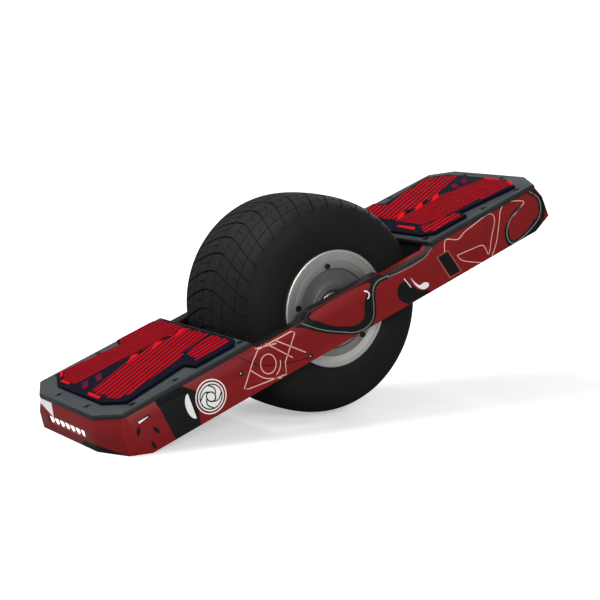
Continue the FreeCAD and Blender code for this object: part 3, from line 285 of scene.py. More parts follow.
def painted(shape, outline, facing, number):
    """Cuts a convex patch into the faces that face one way, and gives it a finish.

    The outline is seen along the main axis of facing, as pairs of the other two places.
    """
    first, second = [i for i in range(3) if not facing[i]]

    def flat(point):
        return Vector((point[first], point[second]))

    def faces_seen():
        return [face for face in shape.faces if face.normal.dot(facing) > FACING_LEAST]

    def solid(pair):
        point = Vector((0, 0, 0))
        point[first], point[second] = pair
        return point

    corners = [Vector(point) for point in outline]
    middle = sum(corners, Vector((0, 0))) / len(corners)
    sides = []
    for a, b in zip(corners, corners[1:] + corners[:1]):
        normal = Vector((b.y - a.y, a.x - b.x)).normalized()
        sides.append((a, normal if (middle - a).dot(normal) < 0 else -normal))
    for a, normal in sides:
        near = dict.fromkeys(item for face in faces_seen()
                             for item in (*face.verts, *face.edges, face))
        bmesh.ops.bisect_plane(shape, geom=list(near), dist=CUT_WITHIN, plane_co=solid(a),
                               plane_no=solid(normal))
        shape.normal_update()
    for face in faces_seen():
        spot = flat(face.calc_center_median())
        if all((spot - a).dot(normal) < 0 for a, normal in sides):
            face.material_index = number


def softened(node, width, slot, body="board", angle=28, paint=(), patches=()):
    """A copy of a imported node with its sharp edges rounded, which stands for the node.

    Faces that a test in paint picks, and patches cut into the faces, get other finishes.
    """
    shape = bmesh.new()
    shape.from_mesh(NODES[node].data)
    bmesh.ops.transform(shape, matrix=BOARD.inverted(), verts=shape.verts)
    bmesh.ops.remove_doubles(shape, verts=shape.verts, dist=WELD_WITHIN)
    bmesh.ops.dissolve_limit(shape, angle_limit=FLAT_UNDER, verts=shape.verts,
                             edges=shape.edges)
    sharp = [edge for edge in shape.edges
             if len(edge.link_faces) == 2 and edge.calc_face_angle() > math.radians(angle)]
    bmesh.ops.bevel(shape, geom=sharp, offset=width, offset_type="OFFSET",
                    segments=EDGE_ARCS, profile=0.5, affect="EDGES", clamp_overlap=True)
    bmesh.ops.triangulate(shape, faces=[face for face in shape.faces
                                        if len(face.verts) > 4])
    bmesh.ops.recalc_face_normals(shape, faces=shape.faces)
    finishes = []
    for material, test in paint:
        finishes.append(material)
        for face in shape.faces:
            if test(face.normal, face.calc_center_median()):
                face.material_index = len(finishes)
    for material, outline, facing in patches:
        finishes.append(material)
        painted(shape, outline, Vector(facing), len(finishes))
    piece = add_piece("soft_" + node, shape, BOARD, FINISH[slot], body, [node])
    for material in finishes:
        piece.data.materials.append(material)
    return piece


def smooth_line(points, closed=False, step=2.5):
    """A line of short steps through a few points, rounded where they turn."""
    knots = [Vector(point) for point in points]
    count = len(knots)
    spans = count if closed else count - 1
    line = []
    for i in range(spans):
        if closed:
            a, b, c, d = (knots[(i + k) % count] for k in (-1, 0, 1, 2))
        else:
            a, b, c, d = (knots[min(max(i + k, 0), count - 1)] for k in (-1, 0, 1, 2))
        pieces = max(1, round((c - b).length / step))
        for j in range(pieces):
            t = j / pieces
            line.append(0.5 * (2 * b + (c - a) * t + (2 * a - 5 * b + 4 * c - d) * t ** 2
                               + (3 * b - a - 3 * c + d) * t ** 3))
    if not closed:
        line.append(knots[-1])
    return line


def ring_line(x, z, radius, high=None, lean=0.0, start=0.0, turn=360.0):
    """Points round a circle, or an ellipse that leans by some degrees."""
    high = high or radius
    steps = max(8, round(abs(turn) / RING_STEP))
    closed = abs(turn) >= 360
    line = []
    for i in range(steps + (0 if closed else 1)):
        angle = math.radians(start + turn * i / steps)
        point = Vector((radius * math.cos(angle), high * math.sin(angle)))
        point.rotate(Matrix.Rotation(math.radians(lean), 2))
        line.append(point + Vector((x, z)))
    return line


def flat_faces(shape, outlines):
    """Triangles that fill some outlines, the second and later ones cutting holes."""
    flat = [[Vector((point[0], point[1], 0)) for point in outline] for outline in outlines]
    corners = [shape.verts.new(point) for outline in flat for point in outline]
    for triangle in tessellate_polygon(flat):
        try:
            shape.faces.new([corners[i] for i in triangle])
        except ValueError:  # this triangle is already there
            continue


def band_faces(shape, line, width, closed=False, taper=(1.0, 1.0)):
    """Quads along a line, which fill a band even where it turns tightly."""
    count = len(line)
    left, right = [], []
    for i, point in enumerate(line):
        if closed:
            along = (line[(i + 1) % count] - line[i - 1]).normalized()
        else:
            along = (line[min(i + 1, count - 1)] - line[max(i - 1, 0)]).normalized()
        share = taper[0] + (taper[1] - taper[0]) * i / max(1, count - 1)
        across = Vector((-along.y, along.x)) * width * share / 2
        left.append(point + across)
        right.append(point - across)
    lower = [shape.verts.new((*point, 0)) for point in left]
    upper = [shape.verts.new((*point, 0)) for point in right]
    for i in range(count if closed else count - 1):
        j = (i + 1) % count
        shape.faces.new([lower[i], lower[j], upper[j], upper[i]])


def split_at(shape, point, normal, clear=False):
    """Cuts a flat mesh along a line, and drops what lies beyond it if clear is set."""
    everything = list(shape.verts) + list(shape.edges) + list(shape.faces)
    bmesh.ops.bisect_plane(shape, geom=everything, dist=CUT_WITHIN, plane_co=(*point, 0),
                           plane_no=(*normal, 0), clear_outer=clear)


def thickened(shape, base, top):
    """Turns a flat mesh into a thin solid between two surfaces, given as functions."""
    low = list(shape.verts)
    made = bmesh.ops.extrude_face_region(shape, geom=list(shape.faces),
                                         use_keep_orig=True)
    high = [item for item in made["geom"] if isinstance(item, bmesh.types.BMVert)]
    for vertex in low:
        vertex.co = base(vertex.co)
    for vertex in high:
        vertex.co = top(vertex.co)


# ---------------------------------------------------------------- printed art on the guards


# A guard's side stands upright up to FACET_Z and leans in above it, and the bumper's side
# does the same from LIP_Z. The edges are lines of (x, z) points along a guard.
GUARD_LOW, GUARD_HIGH = board_box("right_rail_guard")
GUARD_OUT = -GUARD_LOW.y
GUARD_END = GUARD_HIGH.x
GUARD_DEPTH = -GUARD_LOW.z
FACET_Z = 11.0
FACET_LEAN = 4.5 / 14
LIP_Z = 9.5
LIP_LEAN = 1.4 / 15.5
TOP_EDGE = [(-GUARD_END, 25.0), (-146, 25.0), (-140, 20.5), (-66, 20.5), (-58, 27.0),
            (58, 27.0), (66, 20.5), (140, 20.5), (146, 25.0), (GUARD_END, 25.0)]
SKID_X = (AXLE.z / MM - GUARD_DEPTH * math.cos(TILT)) / math.sin(TILT)
BOTTOM_EDGE = [(-GUARD_END, -GUARD_DEPTH + (GUARD_END - SKID_X) * math.tan(TILT)),
               (-SKID_X, -GUARD_DEPTH), (SKID_X, -GUARD_DEPTH),
               (GUARD_END, -GUARD_DEPTH + (GUARD_END - SKID_X) * math.tan(TILT))]
BUMPER_TOP = 24.3
BUMPER_GAP = 0.4
EDGE_GAP = 0.7
INK_STEP = 0.12
INK_ROOT = 0.15


def edge_height(edge, x):
    """The height of a guard's top or bottom edge at a place along it."""
    for (x0, z0), (x1, z1) in zip(edge, edge[1:]):
        if x <= x1:
            return z0 + (z1 - z0) * (x - x0) / (x1 - x0)
    return edge[-1][1]


def trimmed_to_guard(shape):
    """The flat mesh cut to the guard's outline, zone by zone between its corners."""
    corners = sorted({x for x, _ in TOP_EDGE + BOTTOM_EDGE})
    whole = bmesh.new()
    for start, stop in zip(corners, corners[1:]):
        zone = shape.copy()
        split_at(zone, (start + EDGE_GAP * (start == corners[0]), 0), (-1, 0), clear=True)
        split_at(zone, (stop - EDGE_GAP * (stop == corners[-1]), 0), (1, 0), clear=True)
        for edge, sign in ((TOP_EDGE, 1), (BOTTOM_EDGE, -1)):
            first = edge_height(edge, start) - sign * EDGE_GAP
            last = edge_height(edge, stop) - sign * EDGE_GAP
            slope = (last - first) / (stop - start)
            split_at(zone, (start, first), (-sign * slope, sign), clear=True)
        mesh = bpy.data.meshes.new("zone")
        zone.to_mesh(mesh)
        zone.free()
        whole.from_mesh(mesh)
        bpy.data.meshes.remove(mesh)
    shape.free()
    bmesh.ops.remove_doubles(whole, verts=whole.verts, dist=1e-3)
    split_at(whole, (0, FACET_Z), (0, 1))
    return whole


def printed(name, flat, side, ink, level, lean, start):
    """A thin layer of ink over a side that leans in above some height."""
    def skin(height):
        return lambda point: Vector((
            point.x, side * (GUARD_OUT + height - max(0.0, point.y - start) * lean),
            point.y))

    if flat.faces:
        thickened(flat, skin(-INK_ROOT), skin(level * INK_STEP))
        add_piece(name, flat, BOARD, INKS[ink], "board")


def print_on_guard(name, side, ink, level, draw):
    """One layer of art on a guard's side: draw fills a flat mesh of (x, z) faces."""
    flat = bmesh.new()
    draw(flat)
    printed(name, trimmed_to_guard(flat), side, ink, level, FACET_LEAN, FACET_Z)


def print_on_bumper(name, side, ink, level, draw):
    """One layer of art on the side of the nose bumper, in line with the guard's art."""
    flat = bmesh.new()
    draw(flat)
    split_at(flat, (GUARD_END + BUMPER_GAP, 0), (-1, 0), clear=True)
    split_at(flat, (0, BUMPER_TOP), (0, 1), clear=True)
    split_at(flat, (0, LIP_Z), (0, 1))
    printed(name, flat, side, ink, level, LIP_LEAN, LIP_Z)


def shapes(*drawn):
    """A draw function made of several smaller ones."""
    def draw(flat):
        for item in drawn:
            item(flat)
    return draw


def filled(points, smooth=False):
    """A draw function for an outline that is filled in."""
    outline = smooth_line(points, closed=True) if smooth else points
    return lambda flat: flat_faces(flat, [outline])


def stroke(points, width, closed=False, smooth=True, taper=(1.0, 1.0)):
    """A draw function for a line of some width."""
    line = smooth_line(points, closed) if smooth else [Vector(point) for point in points]
    return lambda flat: band_faces(flat, line, width, closed, taper)


def ring(x, z, radius, width, **more):
    """A draw function for a ring, or a part of one."""
    line = ring_line(x, z, radius, **more)
    closed = abs(more.get("turn", 360.0)) >= 360
    return lambda flat: band_faces(flat, line, width, closed)


def disc(x, z, radius, **more):
    """A draw function for a disc or a filled ellipse."""
    return lambda flat: flat_faces(flat, [ring_line(x, z, radius, **more)])


SWEEP = [(-80, 28), (-66, 9), (-46, -6.5), (-24, -19.5), (-4, -29.5), (13, -31.5),
         (26, -28), (34, -19), (38, -7), (43, 9), (54, 15.5), (68, 15.5), (68, 28)]
SWEEP_WINDOW = [(-53, 23.5), (-46, 8.5), (-26, -7), (-1, -18), (15, -15), (22, 2),
                (29, 10), (36, 23.5)]
SWEEP_LINE = [(-74, 22), (-63, 11), (-44, -4), (-23, -16.5), (-4, -26.5), (12, -28.5),
              (23, -25.5), (30.5, -17.5), (34.5, -6), (40, 11), (52, 18.5), (70, 18.2)]
HOOK_LINE = [(306, 13), (298, 10), (284, 5.5), (273, -3.5), (268, -13), (268.5, -23),
             (275, -29.5), (292, -28.5), (312, -23), (327.5, -15.5), (335, -5),
             (336.5, 6), (333, 15.5), (325, 26)]
HOOK = [(308, 13.5), (298, 13), (284, 9), (275, 1), (272, -12), (272, -22), (277, -26.5),
        (292, -25.5), (310, -20), (325, -13), (332, -4), (333.5, 5), (330, 14), (322, 25),
        (334, 25), (338, 16), (343, 2), (341, -11), (333, -22), (316, -30), (292, -33),
        (270, -33), (264, -24), (264, -12), (269, -2), (280, 5), (296, 9.5)]
CONTOUR = [(162, 8.6), (172, 22), (189, 15), (204, 19), (226, 21.7), (246, 24), (255, 22),
           (256, 15), (242, -6), (230, -25), (225, -10), (205, -6.5), (180, -4)]
CONTOUR_TAIL = [(180, -4), (186, -14), (204, -25), (216, -31)]
TRAIL = [(233, -31), (248, -15), (265, 14), (278, 24.5), (291, 24.5), (311, 16),
         (299, 10), (284, 5)]
BRUSH = [(100, 1), (103.5, -10), (108, -17.5), (115, -22.5), (123, -22), (124, -17.5),
         (118, -14), (110.5, -14.5), (105, -8.5)]
BLOB = [(88, 1), (79, -1), (74, -8), (74, -17), (81, -26), (94, -34), (122, -34),
        (120, -26), (107, -20), (98, -8)]
BLOCK = [(-290, 25), (-252, 25), (-238, 12), (-247, -31), (-283.5, -31)]
EMBLEM = (-222, -5)


def windowed(points, window):
    """A smooth outline with a smooth window in it."""
    return lambda flat: flat_faces(flat, [smooth_line(points, closed=True),
                                          smooth_line(window, closed=True)])


def pinwheel(x, z, inner, outer, count, width):
    """Arms that curl from a small ring out to a larger one."""
    arms = []
    for k in range(count):
        arms.append(stroke([
            (x + r * math.cos(a), z + r * math.sin(a)) for r, a in (
                (inner + (outer - inner) * share, math.tau * k / count + 1.5 * share)
                for share in (0, 0.3, 0.6, 1))], width))
    return shapes(*arms)


def near_side_art():
    """The livery that shows best: blocks, sweeps, thin contours and rings on red."""
    x, z = EMBLEM
    side = -1
    print_on_guard("art_black_near", side, "black", 1, shapes(
        filled(BLOCK), windowed(SWEEP, SWEEP_WINDOW), filled(BLOB, smooth=True),
        filled([(150.5, 6.5), (167, 7), (177.5, -25), (161, -25.5)]),
        filled(HOOK, smooth=True),
        stroke([(-323, 13), (-303, 12.5)], 3.6, smooth=False, taper=(0.3, 1)),
        disc(-324, 2, 5.6, high=2.3, lean=60), disc(-302.5, -7.5, 5.8, high=2.2, lean=-62),
        disc(-312, -22.5, 5.6, high=2.3, lean=-82),
        stroke([(-168, 20), (-146, -1), (-113, -16), (-78, -25)], 1.1),
    ))
    print_on_guard("art_slate_near", side, "slate", 1, shapes(
        stroke([(68, 18.6), (100, 18.2), (128, 18.6), (146, 23), (158, 26)], 6.5,
               taper=(0.6, 1)),
        filled([(-289, 15.5), (-244, 15.5), (-252, 25), (-289, 25)]),
    ))
    print_on_guard("art_sage_near", side, "sage", 2, shapes(
        stroke(SWEEP_LINE, 1.3), stroke(HOOK_LINE, 1.6),
        stroke([(68, 17), (93, 14.6), (118, 14.6), (134, 16.5), (148, 22)], 1.1),
    ))
    print_on_guard("art_pink_near", side, "pink", 2, shapes(
        stroke(CONTOUR, 1.1), stroke(CONTOUR_TAIL, 1.1), stroke(TRAIL, 1.1),
        ring(-135, -5, 11, 1.3, high=12.5),
        ring(-135, -5, 17.5, 1.3, high=19, start=-72, turn=62),
        stroke([(-177, -18), (-171, -21), (-116, -29), (-112, -14), (-86, 14), (-89, 17),
                (-141, 17.5), (-153, 9)], 1.4, closed=True, smooth=False),
        stroke([(-161, 0), (-154, -10), (-144, -20.5), (-122, -31)], 1.3),
        stroke([(-128, 19), (-100, -14)], 1.3), stroke([(-115.5, 18), (-80.5, -16.5)], 1.3),
        stroke([(-144, 20), (-115, 13.4)], 1.3),
    ))
    print_on_guard("art_tan_near", side, "tan", 2, shapes(
        stroke([(148.5, 8), (168.5, 8.5), (179.5, -26.5), (159, -27)], 1.3, closed=True,
               smooth=False),
    ))
    print_on_guard("art_white_near", side, "white", 2, shapes(
        disc(x, z, 17.8), ring(x, z, 20.8, 1.5),
        disc(-249, -3.5, 8.5, high=16.5, start=90, turn=180),
        stroke([(-320, 11.5), (-306, 12.5)], 2.6, smooth=False, taper=(1, 0.3)),
        stroke([(90, 5), (96.5, -11)], 1.2, smooth=False), filled(BRUSH, smooth=True),
        ring(27.5, 10.5, 5.4, 1.9, start=-80, turn=165),
    ))
    print_on_guard("art_black_rings_near", side, "black", 3, shapes(
        ring(x, z, 15.2, 1.5), ring(x, z, 5.4, 1.6, high=6.8, lean=35),
        pinwheel(x, z, 6.2, 15, 4, 1.5),
    ))
    print_on_bumper("art_black_bumper", side, "black", 1, filled(HOOK, smooth=True))
    print_on_bumper("art_sage_bumper", side, "sage", 2, stroke(HOOK_LINE, 1.6))


def far_side_art():
    """Plainer blocks and lines on the other guard, clear of its port and button."""
    side = 1
    print_on_guard("art_black_far", side, "black", 1, shapes(
        filled([(-290, 25), (-246, 25), (-262, -31), (-300, -31)]),
        windowed(SWEEP, SWEEP_WINDOW),
        filled([(96, 8), (126, 8), (140, -31), (110, -31)]),
        filled([(292, 25), (312, 25), (322, -31), (302, -31)]),
    ))
    print_on_guard("art_sage_far", side, "sage", 2, shapes(
        stroke(SWEEP_LINE, 1.2), stroke([(68, 17), (96, 14.5), (124, 15)], 1.1),
    ))
    print_on_guard("art_pink_far", side, "pink", 2, shapes(
        ring(-134, -4, 11.5, 1.3, high=14),
        ring(-134, -4, 19, 1.3, high=21, start=-65, turn=205),
        stroke([(-214, -18), (-194, 9), (-164, 15), (-179, -20)], 1.3, closed=True,
               smooth=False),
        stroke([(216, 16), (236, 20), (262, 18), (284, 21)], 1.2),
    ))


# ---------------------------------------------------------------- foot pads


def clipped(points, normal, limit):
    """The part of a convex outline with point . normal under a limit."""
    kept = []
    for a, b in zip(points, points[1:] + points[:1]):
        da, db = a.dot(normal) - limit, b.dot(normal) - limit
        if da <= 0:
            kept.append(a)
        if da * db < 0:
            kept.append(a + (b - a) * (da / (da - db)))
    return kept


def stripes(outline, angle, pitch, width, jag=0.0):
    """Stripes across a convex outline at an angle, with uneven ends if jag is set."""
    along = Vector((math.cos(math.radians(angle)), math.sin(math.radians(angle))))
    across = Vector((-along.y, along.x))
    points = [Vector(point) for point in outline]
    reach = [point.dot(across) for point in points]
    found = []
    for k in range(math.floor(min(reach) / pitch), math.ceil(max(reach) / pitch) + 1):
        low = k * pitch
        stripe = clipped(clipped(points, across, low + width), -across, -low)
        if len(stripe) < 3 or not jag:
            found.append(stripe)
            continue
        ends = [point.dot(along) for point in stripe]
        stripe = clipped(stripe, -along, -(min(ends) + jag * (k * 3 % 5) / 4))
        found.append(clipped(stripe, along, max(ends) - jag * (k * 2 % 5) / 4))
    return [stripe for stripe in found if len(stripe) >= 3]


# The parts of each pad's pattern, as (x, y) outlines: zones filled with level or slanted
# stripes, a block of its own stripes, and the small shapes over and beside them.
PAD_RIB = 0.5
PAD_STEP = 0.1
PAD_ROOT = 0.1
LEVEL_STRIPES = dict(pitch=8.3, width=5.0)
SLANTED_STRIPES = dict(angle=22, pitch=8.8, width=5.1, jag=5)
BLOCK_STRIPES = dict(angle=5, pitch=9.6, width=5.7, jag=3)
TAIL_PAD = dict(
    level=[[(-322, 34), (-322, 66), (-306, 96), (-226, 82), (-226, 28), (-262, 30)],
           [(-226, 28), (-226, 86), (-219, 103), (-169, 103), (-159, 90), (-159, 28)]],
    level_angle=0,
    slanted=[[(-324, -16), (-226, 26), (-159, 26), (-159, -36), (-209, -50), (-209, -58),
              (-265, -74), (-302, -86), (-324, -76)]],
    block=[(-206, -57), (-159, -43), (-159, -88), (-164, -93), (-214, -93)],
    tips=[[(x - 12, 8), (x + 6, 27), (x + 12, 18)] for x in (-246, -210, -173)],
    notches=[[(x - 7, 18), (x + 1, 29), (x + 8, 20)] for x in (-229, -191)],
    dashes=[[(-327, 44), (-327, 66), (-323, 66), (-323, 44)],
            [(-331, -50), (-331, -20), (-326, -16), (-326, -48)],
            [(-321, 80), (-312, 97), (-308, 97), (-317, 80)]],
    marks=[[(x, 3), (x + 9, 24), (x + 18, 24), (x + 8, 3)] for x in (-326, -306)],
)
NOSE_PAD = dict(
    level=[[(180, 0), (268, 3), (268, -78), (226, -78), (180, -64)],
           [(268, 3), (332, -22), (332, -60), (317, -92), (268, -86)]],
    level_angle=-4,
    slanted=[[(180, 4), (255, 10), (330, 40), (330, 62), (316, 92), (262, 83), (228, 73),
              (186, 60)],
             [(186, 60), (222, 72), (220, 101), (176, 101)]],
    block=[(172, -66), (222, -81), (218, -102), (168, -102), (160, -90)],
    tips=[[(x - 13, -2), (x + 2, -1), (x + 14, 15), (x + 3, 13)] for x in (258, 228, 194)],
    notches=[[(x - 6, 5), (x + 2, 5), (x + 8, 15), (x, 15)] for x in (243, 210)],
    dashes=[[(328, -24), (328, -52), (331.5, -52), (331.5, -20)],
            [(326, -72), (316, -93), (319.5, -93), (329, -74)],
            [(165, -22), (170, -22), (170, -58), (163, -64)]],
    marks=[[(x, 0), (x + 8, 18), (x + 18, 18), (x + 9, 0)] for x in (290, 308)],
)


def pad_layer(name, ink, outlines, top, height):
    """Raised grit of one colour on a foot pad."""
    shape = bmesh.new()
    for outline in outlines:
        flat_faces(shape, [outline])
    thickened(shape, lambda p: Vector((p.x, p.y, top - PAD_ROOT)),
              lambda p: Vector((p.x, p.y, top + height)))
    add_piece(name, shape, BOARD, INKS[ink], "board")


def pad_art(end_name, plan):
    """The striped grit on one foot pad, each colour a little higher than the last."""
    top = board_box(end_name + "_grip_pad")[1].z
    level = [line for zone in plan["level"]
             for line in stripes(zone, plan["level_angle"], **LEVEL_STRIPES)]
    slanted = [line for zone in plan["slanted"]
               for line in stripes(zone, **SLANTED_STRIPES)]
    block = stripes(plan["block"], **BLOCK_STRIPES)
    for kind, ink, outlines, steps in (
            ("crimson", "crimson", level, 0),
            ("scarlet", "scarlet", slanted + block, 1),
            ("flame", "flame", plan["tips"] + plan["dashes"], 2),
            ("plum", "plum", plan["marks"], 0),
            ("notches", "coal", plan["notches"], 3)):
        pad_layer(f"{end_name}_pad_{kind}", ink, outlines, top, PAD_RIB + steps * PAD_STEP)


# ---------------------------------------------------------------- tyre


# Lengths across the tread are measured along its curve from the middle. Kinds of row are
# 1 in a fine line round the tyre and 2 in the shoulder ticks; kinds of column are 1 in a
# groove right across the tread and 2 in a short fine cut; 0 is plain in both.
TYRE_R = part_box("tyre")[1].z / MM - AXLE.z / MM
TYRE_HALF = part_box("tyre")[1].y / MM
LIP_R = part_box("rim")[1].x / MM
PITCHES = 37
PHASE = 1.2
GROOVE_DEPTH = 2.3
RIB_LINES = (12.0, 36.0, 60.0)
LINE_ROWS = ((-0.9, 0), (-0.35, 1), (0.35, 1), (0.9, 0))
TICK_ROWS = ((-1.2, 0), (-0.5, 2), (0.5, 2), (1.2, 0))
TICK_SPAN = (0.01, 0.4)
ROW_SPACING = 5.5
ROW_CLEAR = 1.6
PITCH_COLUMNS = ((0.0, 0), (0.02, 1), (0.08, 1), (0.1, 0), (0.2, 0), (0.33, 0), (0.5, 0),
                 (0.515, 2), (0.55, 2), (0.565, 0), (0.67, 0), (0.84, 0))
FINE_CUTS = ((12.5, 24.5), (44.0, 56.0))
FINE_SHARE = 0.6
TICK_SHARE = 0.7
SWEEP_DEGREES = 9.8
SWEEP_AT = 68.0
CROWN = 22.0
SHOULDER_AT = 77.0
TREAD_EDGE = SHOULDER_AT + 3
OUTER_HALF = [(0, TYRE_R), (22, TYRE_R - 0.5), (42, TYRE_R - 2.0), (58, TYRE_R - 4.8),
              (70, TYRE_R - 9.6), (78.5, TYRE_R - 17.5), (83.3, TYRE_R - 28),
              (TYRE_HALF, TYRE_R - 40), (TYRE_HALF, LIP_R + 20), (TYRE_HALF - 1, LIP_R + 8),
              (TYRE_HALF - 3.4, LIP_R + 1.2), (TYRE_HALF - 5.4, LIP_R + 0.5)]
BEAD_HALF = [(TYRE_HALF - 5.6, LIP_R - 4.4), (TYRE_HALF - 21, LIP_R - 4.4),
             (TYRE_HALF - 23, LIP_R + 1.5), (TYRE_HALF - 8, LIP_R + 22),
             (TYRE_HALF - 9, TYRE_R - 30), (54, TYRE_R - 13), (0, TYRE_R - 10)]


def tread_rows():
    """Rows over half the tyre, from the middle to the bead: (length, point, kind)."""
    line = smooth_line(OUTER_HALF, step=0.8)
    length = [0.0]
    for a, b in zip(line, line[1:]):
        length.append(length[-1] + (b - a).length)

    def at(distance):
        i = next((k for k, s in enumerate(length) if s >= distance), len(line) - 1)
        if i == 0:
            return line[0]
        share = (distance - length[i - 1]) / (length[i] - length[i - 1])
        return line[i - 1].lerp(line[i], share)

    marks = {}
    for rib in RIB_LINES:
        for offset, kind in LINE_ROWS:
            marks[rib + offset] = kind
    for offset, kind in TICK_ROWS:
        marks[SHOULDER_AT + offset] = kind
    for i in range(int(length[-1] / ROW_SPACING)):
        if all(abs(i * ROW_SPACING - mark) > ROW_CLEAR for mark in marks):
            marks[i * ROW_SPACING] = 0
    marks[length[-1]] = 0
    return [(s, at(s), marks[s]) for s in sorted(marks)]


def tyre_columns():
    """Angles round the tyre, each with its share of a pitch and its kind."""
    return [(PHASE + (i + share) * 360 / PITCHES, share, cut)
            for i in range(PITCHES) for share, cut in PITCH_COLUMNS]


def tread_bend(s):
    """How far the cross grooves trail behind the crown, some way across the tread."""
    trail = math.hypot(min(abs(s), TREAD_EDGE), CROWN) - CROWN
    return SWEEP_DEGREES * trail / (math.hypot(SWEEP_AT, CROWN) - CROWN)


def build_tyre():
    """The tyre with curved cross grooves, fine lines round it and ticks on its shoulders."""
    half = tread_rows()
    rows = [(-s, Vector((-p.x, p.y)), kind) for s, p, kind in reversed(half[1:])] + half
    beads = [Vector(point) for point in BEAD_HALF]
    rest = beads + [Vector((-p.x, p.y)) for p in reversed(beads[:-1])]
    shape = bmesh.new()
    columns = []
    for angle, share, cut in tyre_columns():
        column = []
        for s, point, kind in rows:
            deep = 0.0
            if cut == 1 and abs(s) < SHOULDER_AT - 0.4:
                deep = GROOVE_DEPTH
            if cut == 2 and any(low < abs(s) < high for low, high in FINE_CUTS):
                deep = GROOVE_DEPTH * FINE_SHARE
            if kind == 1:
                deep = max(deep, GROOVE_DEPTH * FINE_SHARE)
            if kind == 2 and TICK_SPAN[0] < share < TICK_SPAN[1]:
                deep = max(deep, GROOVE_DEPTH * TICK_SHARE)
            column.append((math.radians(angle + tread_bend(s)), point.x, point.y - deep))
        for point in rest:
            column.append((math.radians(angle + tread_bend(TREAD_EDGE)), point.x, point.y))
        columns.append([shape.verts.new((-r * math.sin(a), y, r * math.cos(a)))
                        for a, y, r in column])
    count = len(columns[0])
    for i, column in enumerate(columns):
        after = columns[(i + 1) % len(columns)]
        for j in range(count):
            k = (j + 1) % count
            shape.faces.new([column[j], column[k], after[k], after[j]])
    add_piece("tyre_carcass", shape, WHEEL, FINISH["tyre"], "wheel", ["tyre"])


# ---------------------------------------------------------------- stage, light and camera


FLOOR_RADIUS = 14
FLOOR_GLOW = 0.44
FLOOR_FADE = (0.5, 2.2)  # the glow grows between these distances, in metres
FLOOR_LIT = (0.30, 0.30, 0.30, 1)
FLOOR_SEEN = (0.82, 0.82, 0.82, 1)
WORLD_LIT = 0.34
WORLD_SEEN = 1.1
SOFTBOXES = (
    ("key", (-1.3, 0.7, 2.4), (0, 0, 0.1), (1.4, 1.4), 62),
    ("side", (-0.6, -2.9, 1.5), (0, 0, 0.15), (1.4, 1.0), 49),
    ("rim", (2.4, 1.6, 1.5), (0, 0, 0.2), (1.2, 1.2), 16),
)


def stage_floor():
    """A pale floor that glows to the camera only, so it doesn't light the board."""
    floor_mesh = bmesh.new()
    bmesh.ops.create_circle(floor_mesh, cap_ends=True, radius=FLOOR_RADIUS, segments=96)
    mesh = bpy.data.meshes.new("studio_floor")
    floor_mesh.to_mesh(mesh)
    floor_mesh.free()
    floor = bpy.data.objects.new("studio_floor", mesh)
    bpy.context.scene.collection.objects.link(floor)
    material, tree, shader = new_material("studio_floor")
    shader.inputs["Roughness"].default_value = 0.6
    shader.inputs["Specular IOR Level"].default_value = 0.2
    shader.inputs["Emission Color"].default_value = (1, 1, 1, 1)
    seen = tree.nodes.new("ShaderNodeLightPath").outputs["Is Camera Ray"]
    place = tree.nodes.new("ShaderNodeTexCoord").outputs["Object"]
    length = tree.nodes.new("ShaderNodeVectorMath")
    length.operation = "LENGTH"
    tree.links.new(place, length.inputs[0])
    glow = spread(tree, length.outputs["Value"], FLOOR_GLOW, 1.0, *FLOOR_FADE)
    shown = tree.nodes.new("ShaderNodeMath")
    shown.operation = "MULTIPLY"
    tree.links.new(glow, shown.inputs[0])
    tree.links.new(seen, shown.inputs[1])
    tree.links.new(shown.outputs["Value"], shader.inputs["Emission Strength"])
    tone = tree.nodes.new("ShaderNodeMix")
    tone.data_type = "RGBA"
    tone.inputs["A"].default_value = FLOOR_LIT
    tone.inputs["B"].default_value = FLOOR_SEEN
    tree.links.new(seen, tone.inputs["Factor"])
    tree.links.new(tone.outputs["Result"], shader.inputs["Base Color"])
    mesh.materials.append(material)


def soft_light(name, place, aim, size, power):
    """A rectangular softbox at a place, in metres, turned to its aim."""
    lamp = bpy.data.lights.new(name, "AREA")
    lamp.shape = "RECTANGLE"
    lamp.size, lamp.size_y = size
    lamp.energy = power
    item = bpy.data.objects.new(name, lamp)
    bpy.context.scene.collection.objects.link(item)
    item.location = place
    item.rotation_euler = (Vector(aim) - Vector(place)).to_track_quat("-Z", "Y").to_euler()


def studio():
    """White surroundings, seen a little brighter than the light they give, and softboxes."""
    world = bpy.data.worlds.new("studio")
    bpy.context.scene.world = world
    world.use_nodes = True
    tree = world.node_tree
    tree.nodes.clear()
    path = tree.nodes.new("ShaderNodeLightPath")
    strength = spread(tree, path.outputs["Is Camera Ray"], WORLD_LIT, WORLD_SEEN,
                      0.0, 1.0)
    light = tree.nodes.new("ShaderNodeBackground")
    light.inputs["Color"].default_value = (1, 1, 1, 1)
    tree.links.new(strength, light.inputs["Strength"])
    out = tree.nodes.new("ShaderNodeOutputWorld")
    tree.links.new(light.outputs["Background"], out.inputs["Surface"])
    for softbox in SOFTBOXES:
        soft_light(*softbox)
    bpy.context.scene.view_settings.view_transform = "Standard"


CAMERA_TURN = math.radians(-33.15)
CAMERA_RISE = math.radians(8.35)
CAMERA_REACH = 2.029
CAMERA_AIM = Vector((0, 0, 0.150))
CAMERA_SLIP = (-0.0008, -0.0052)
CAMERA_LENS = 91.8


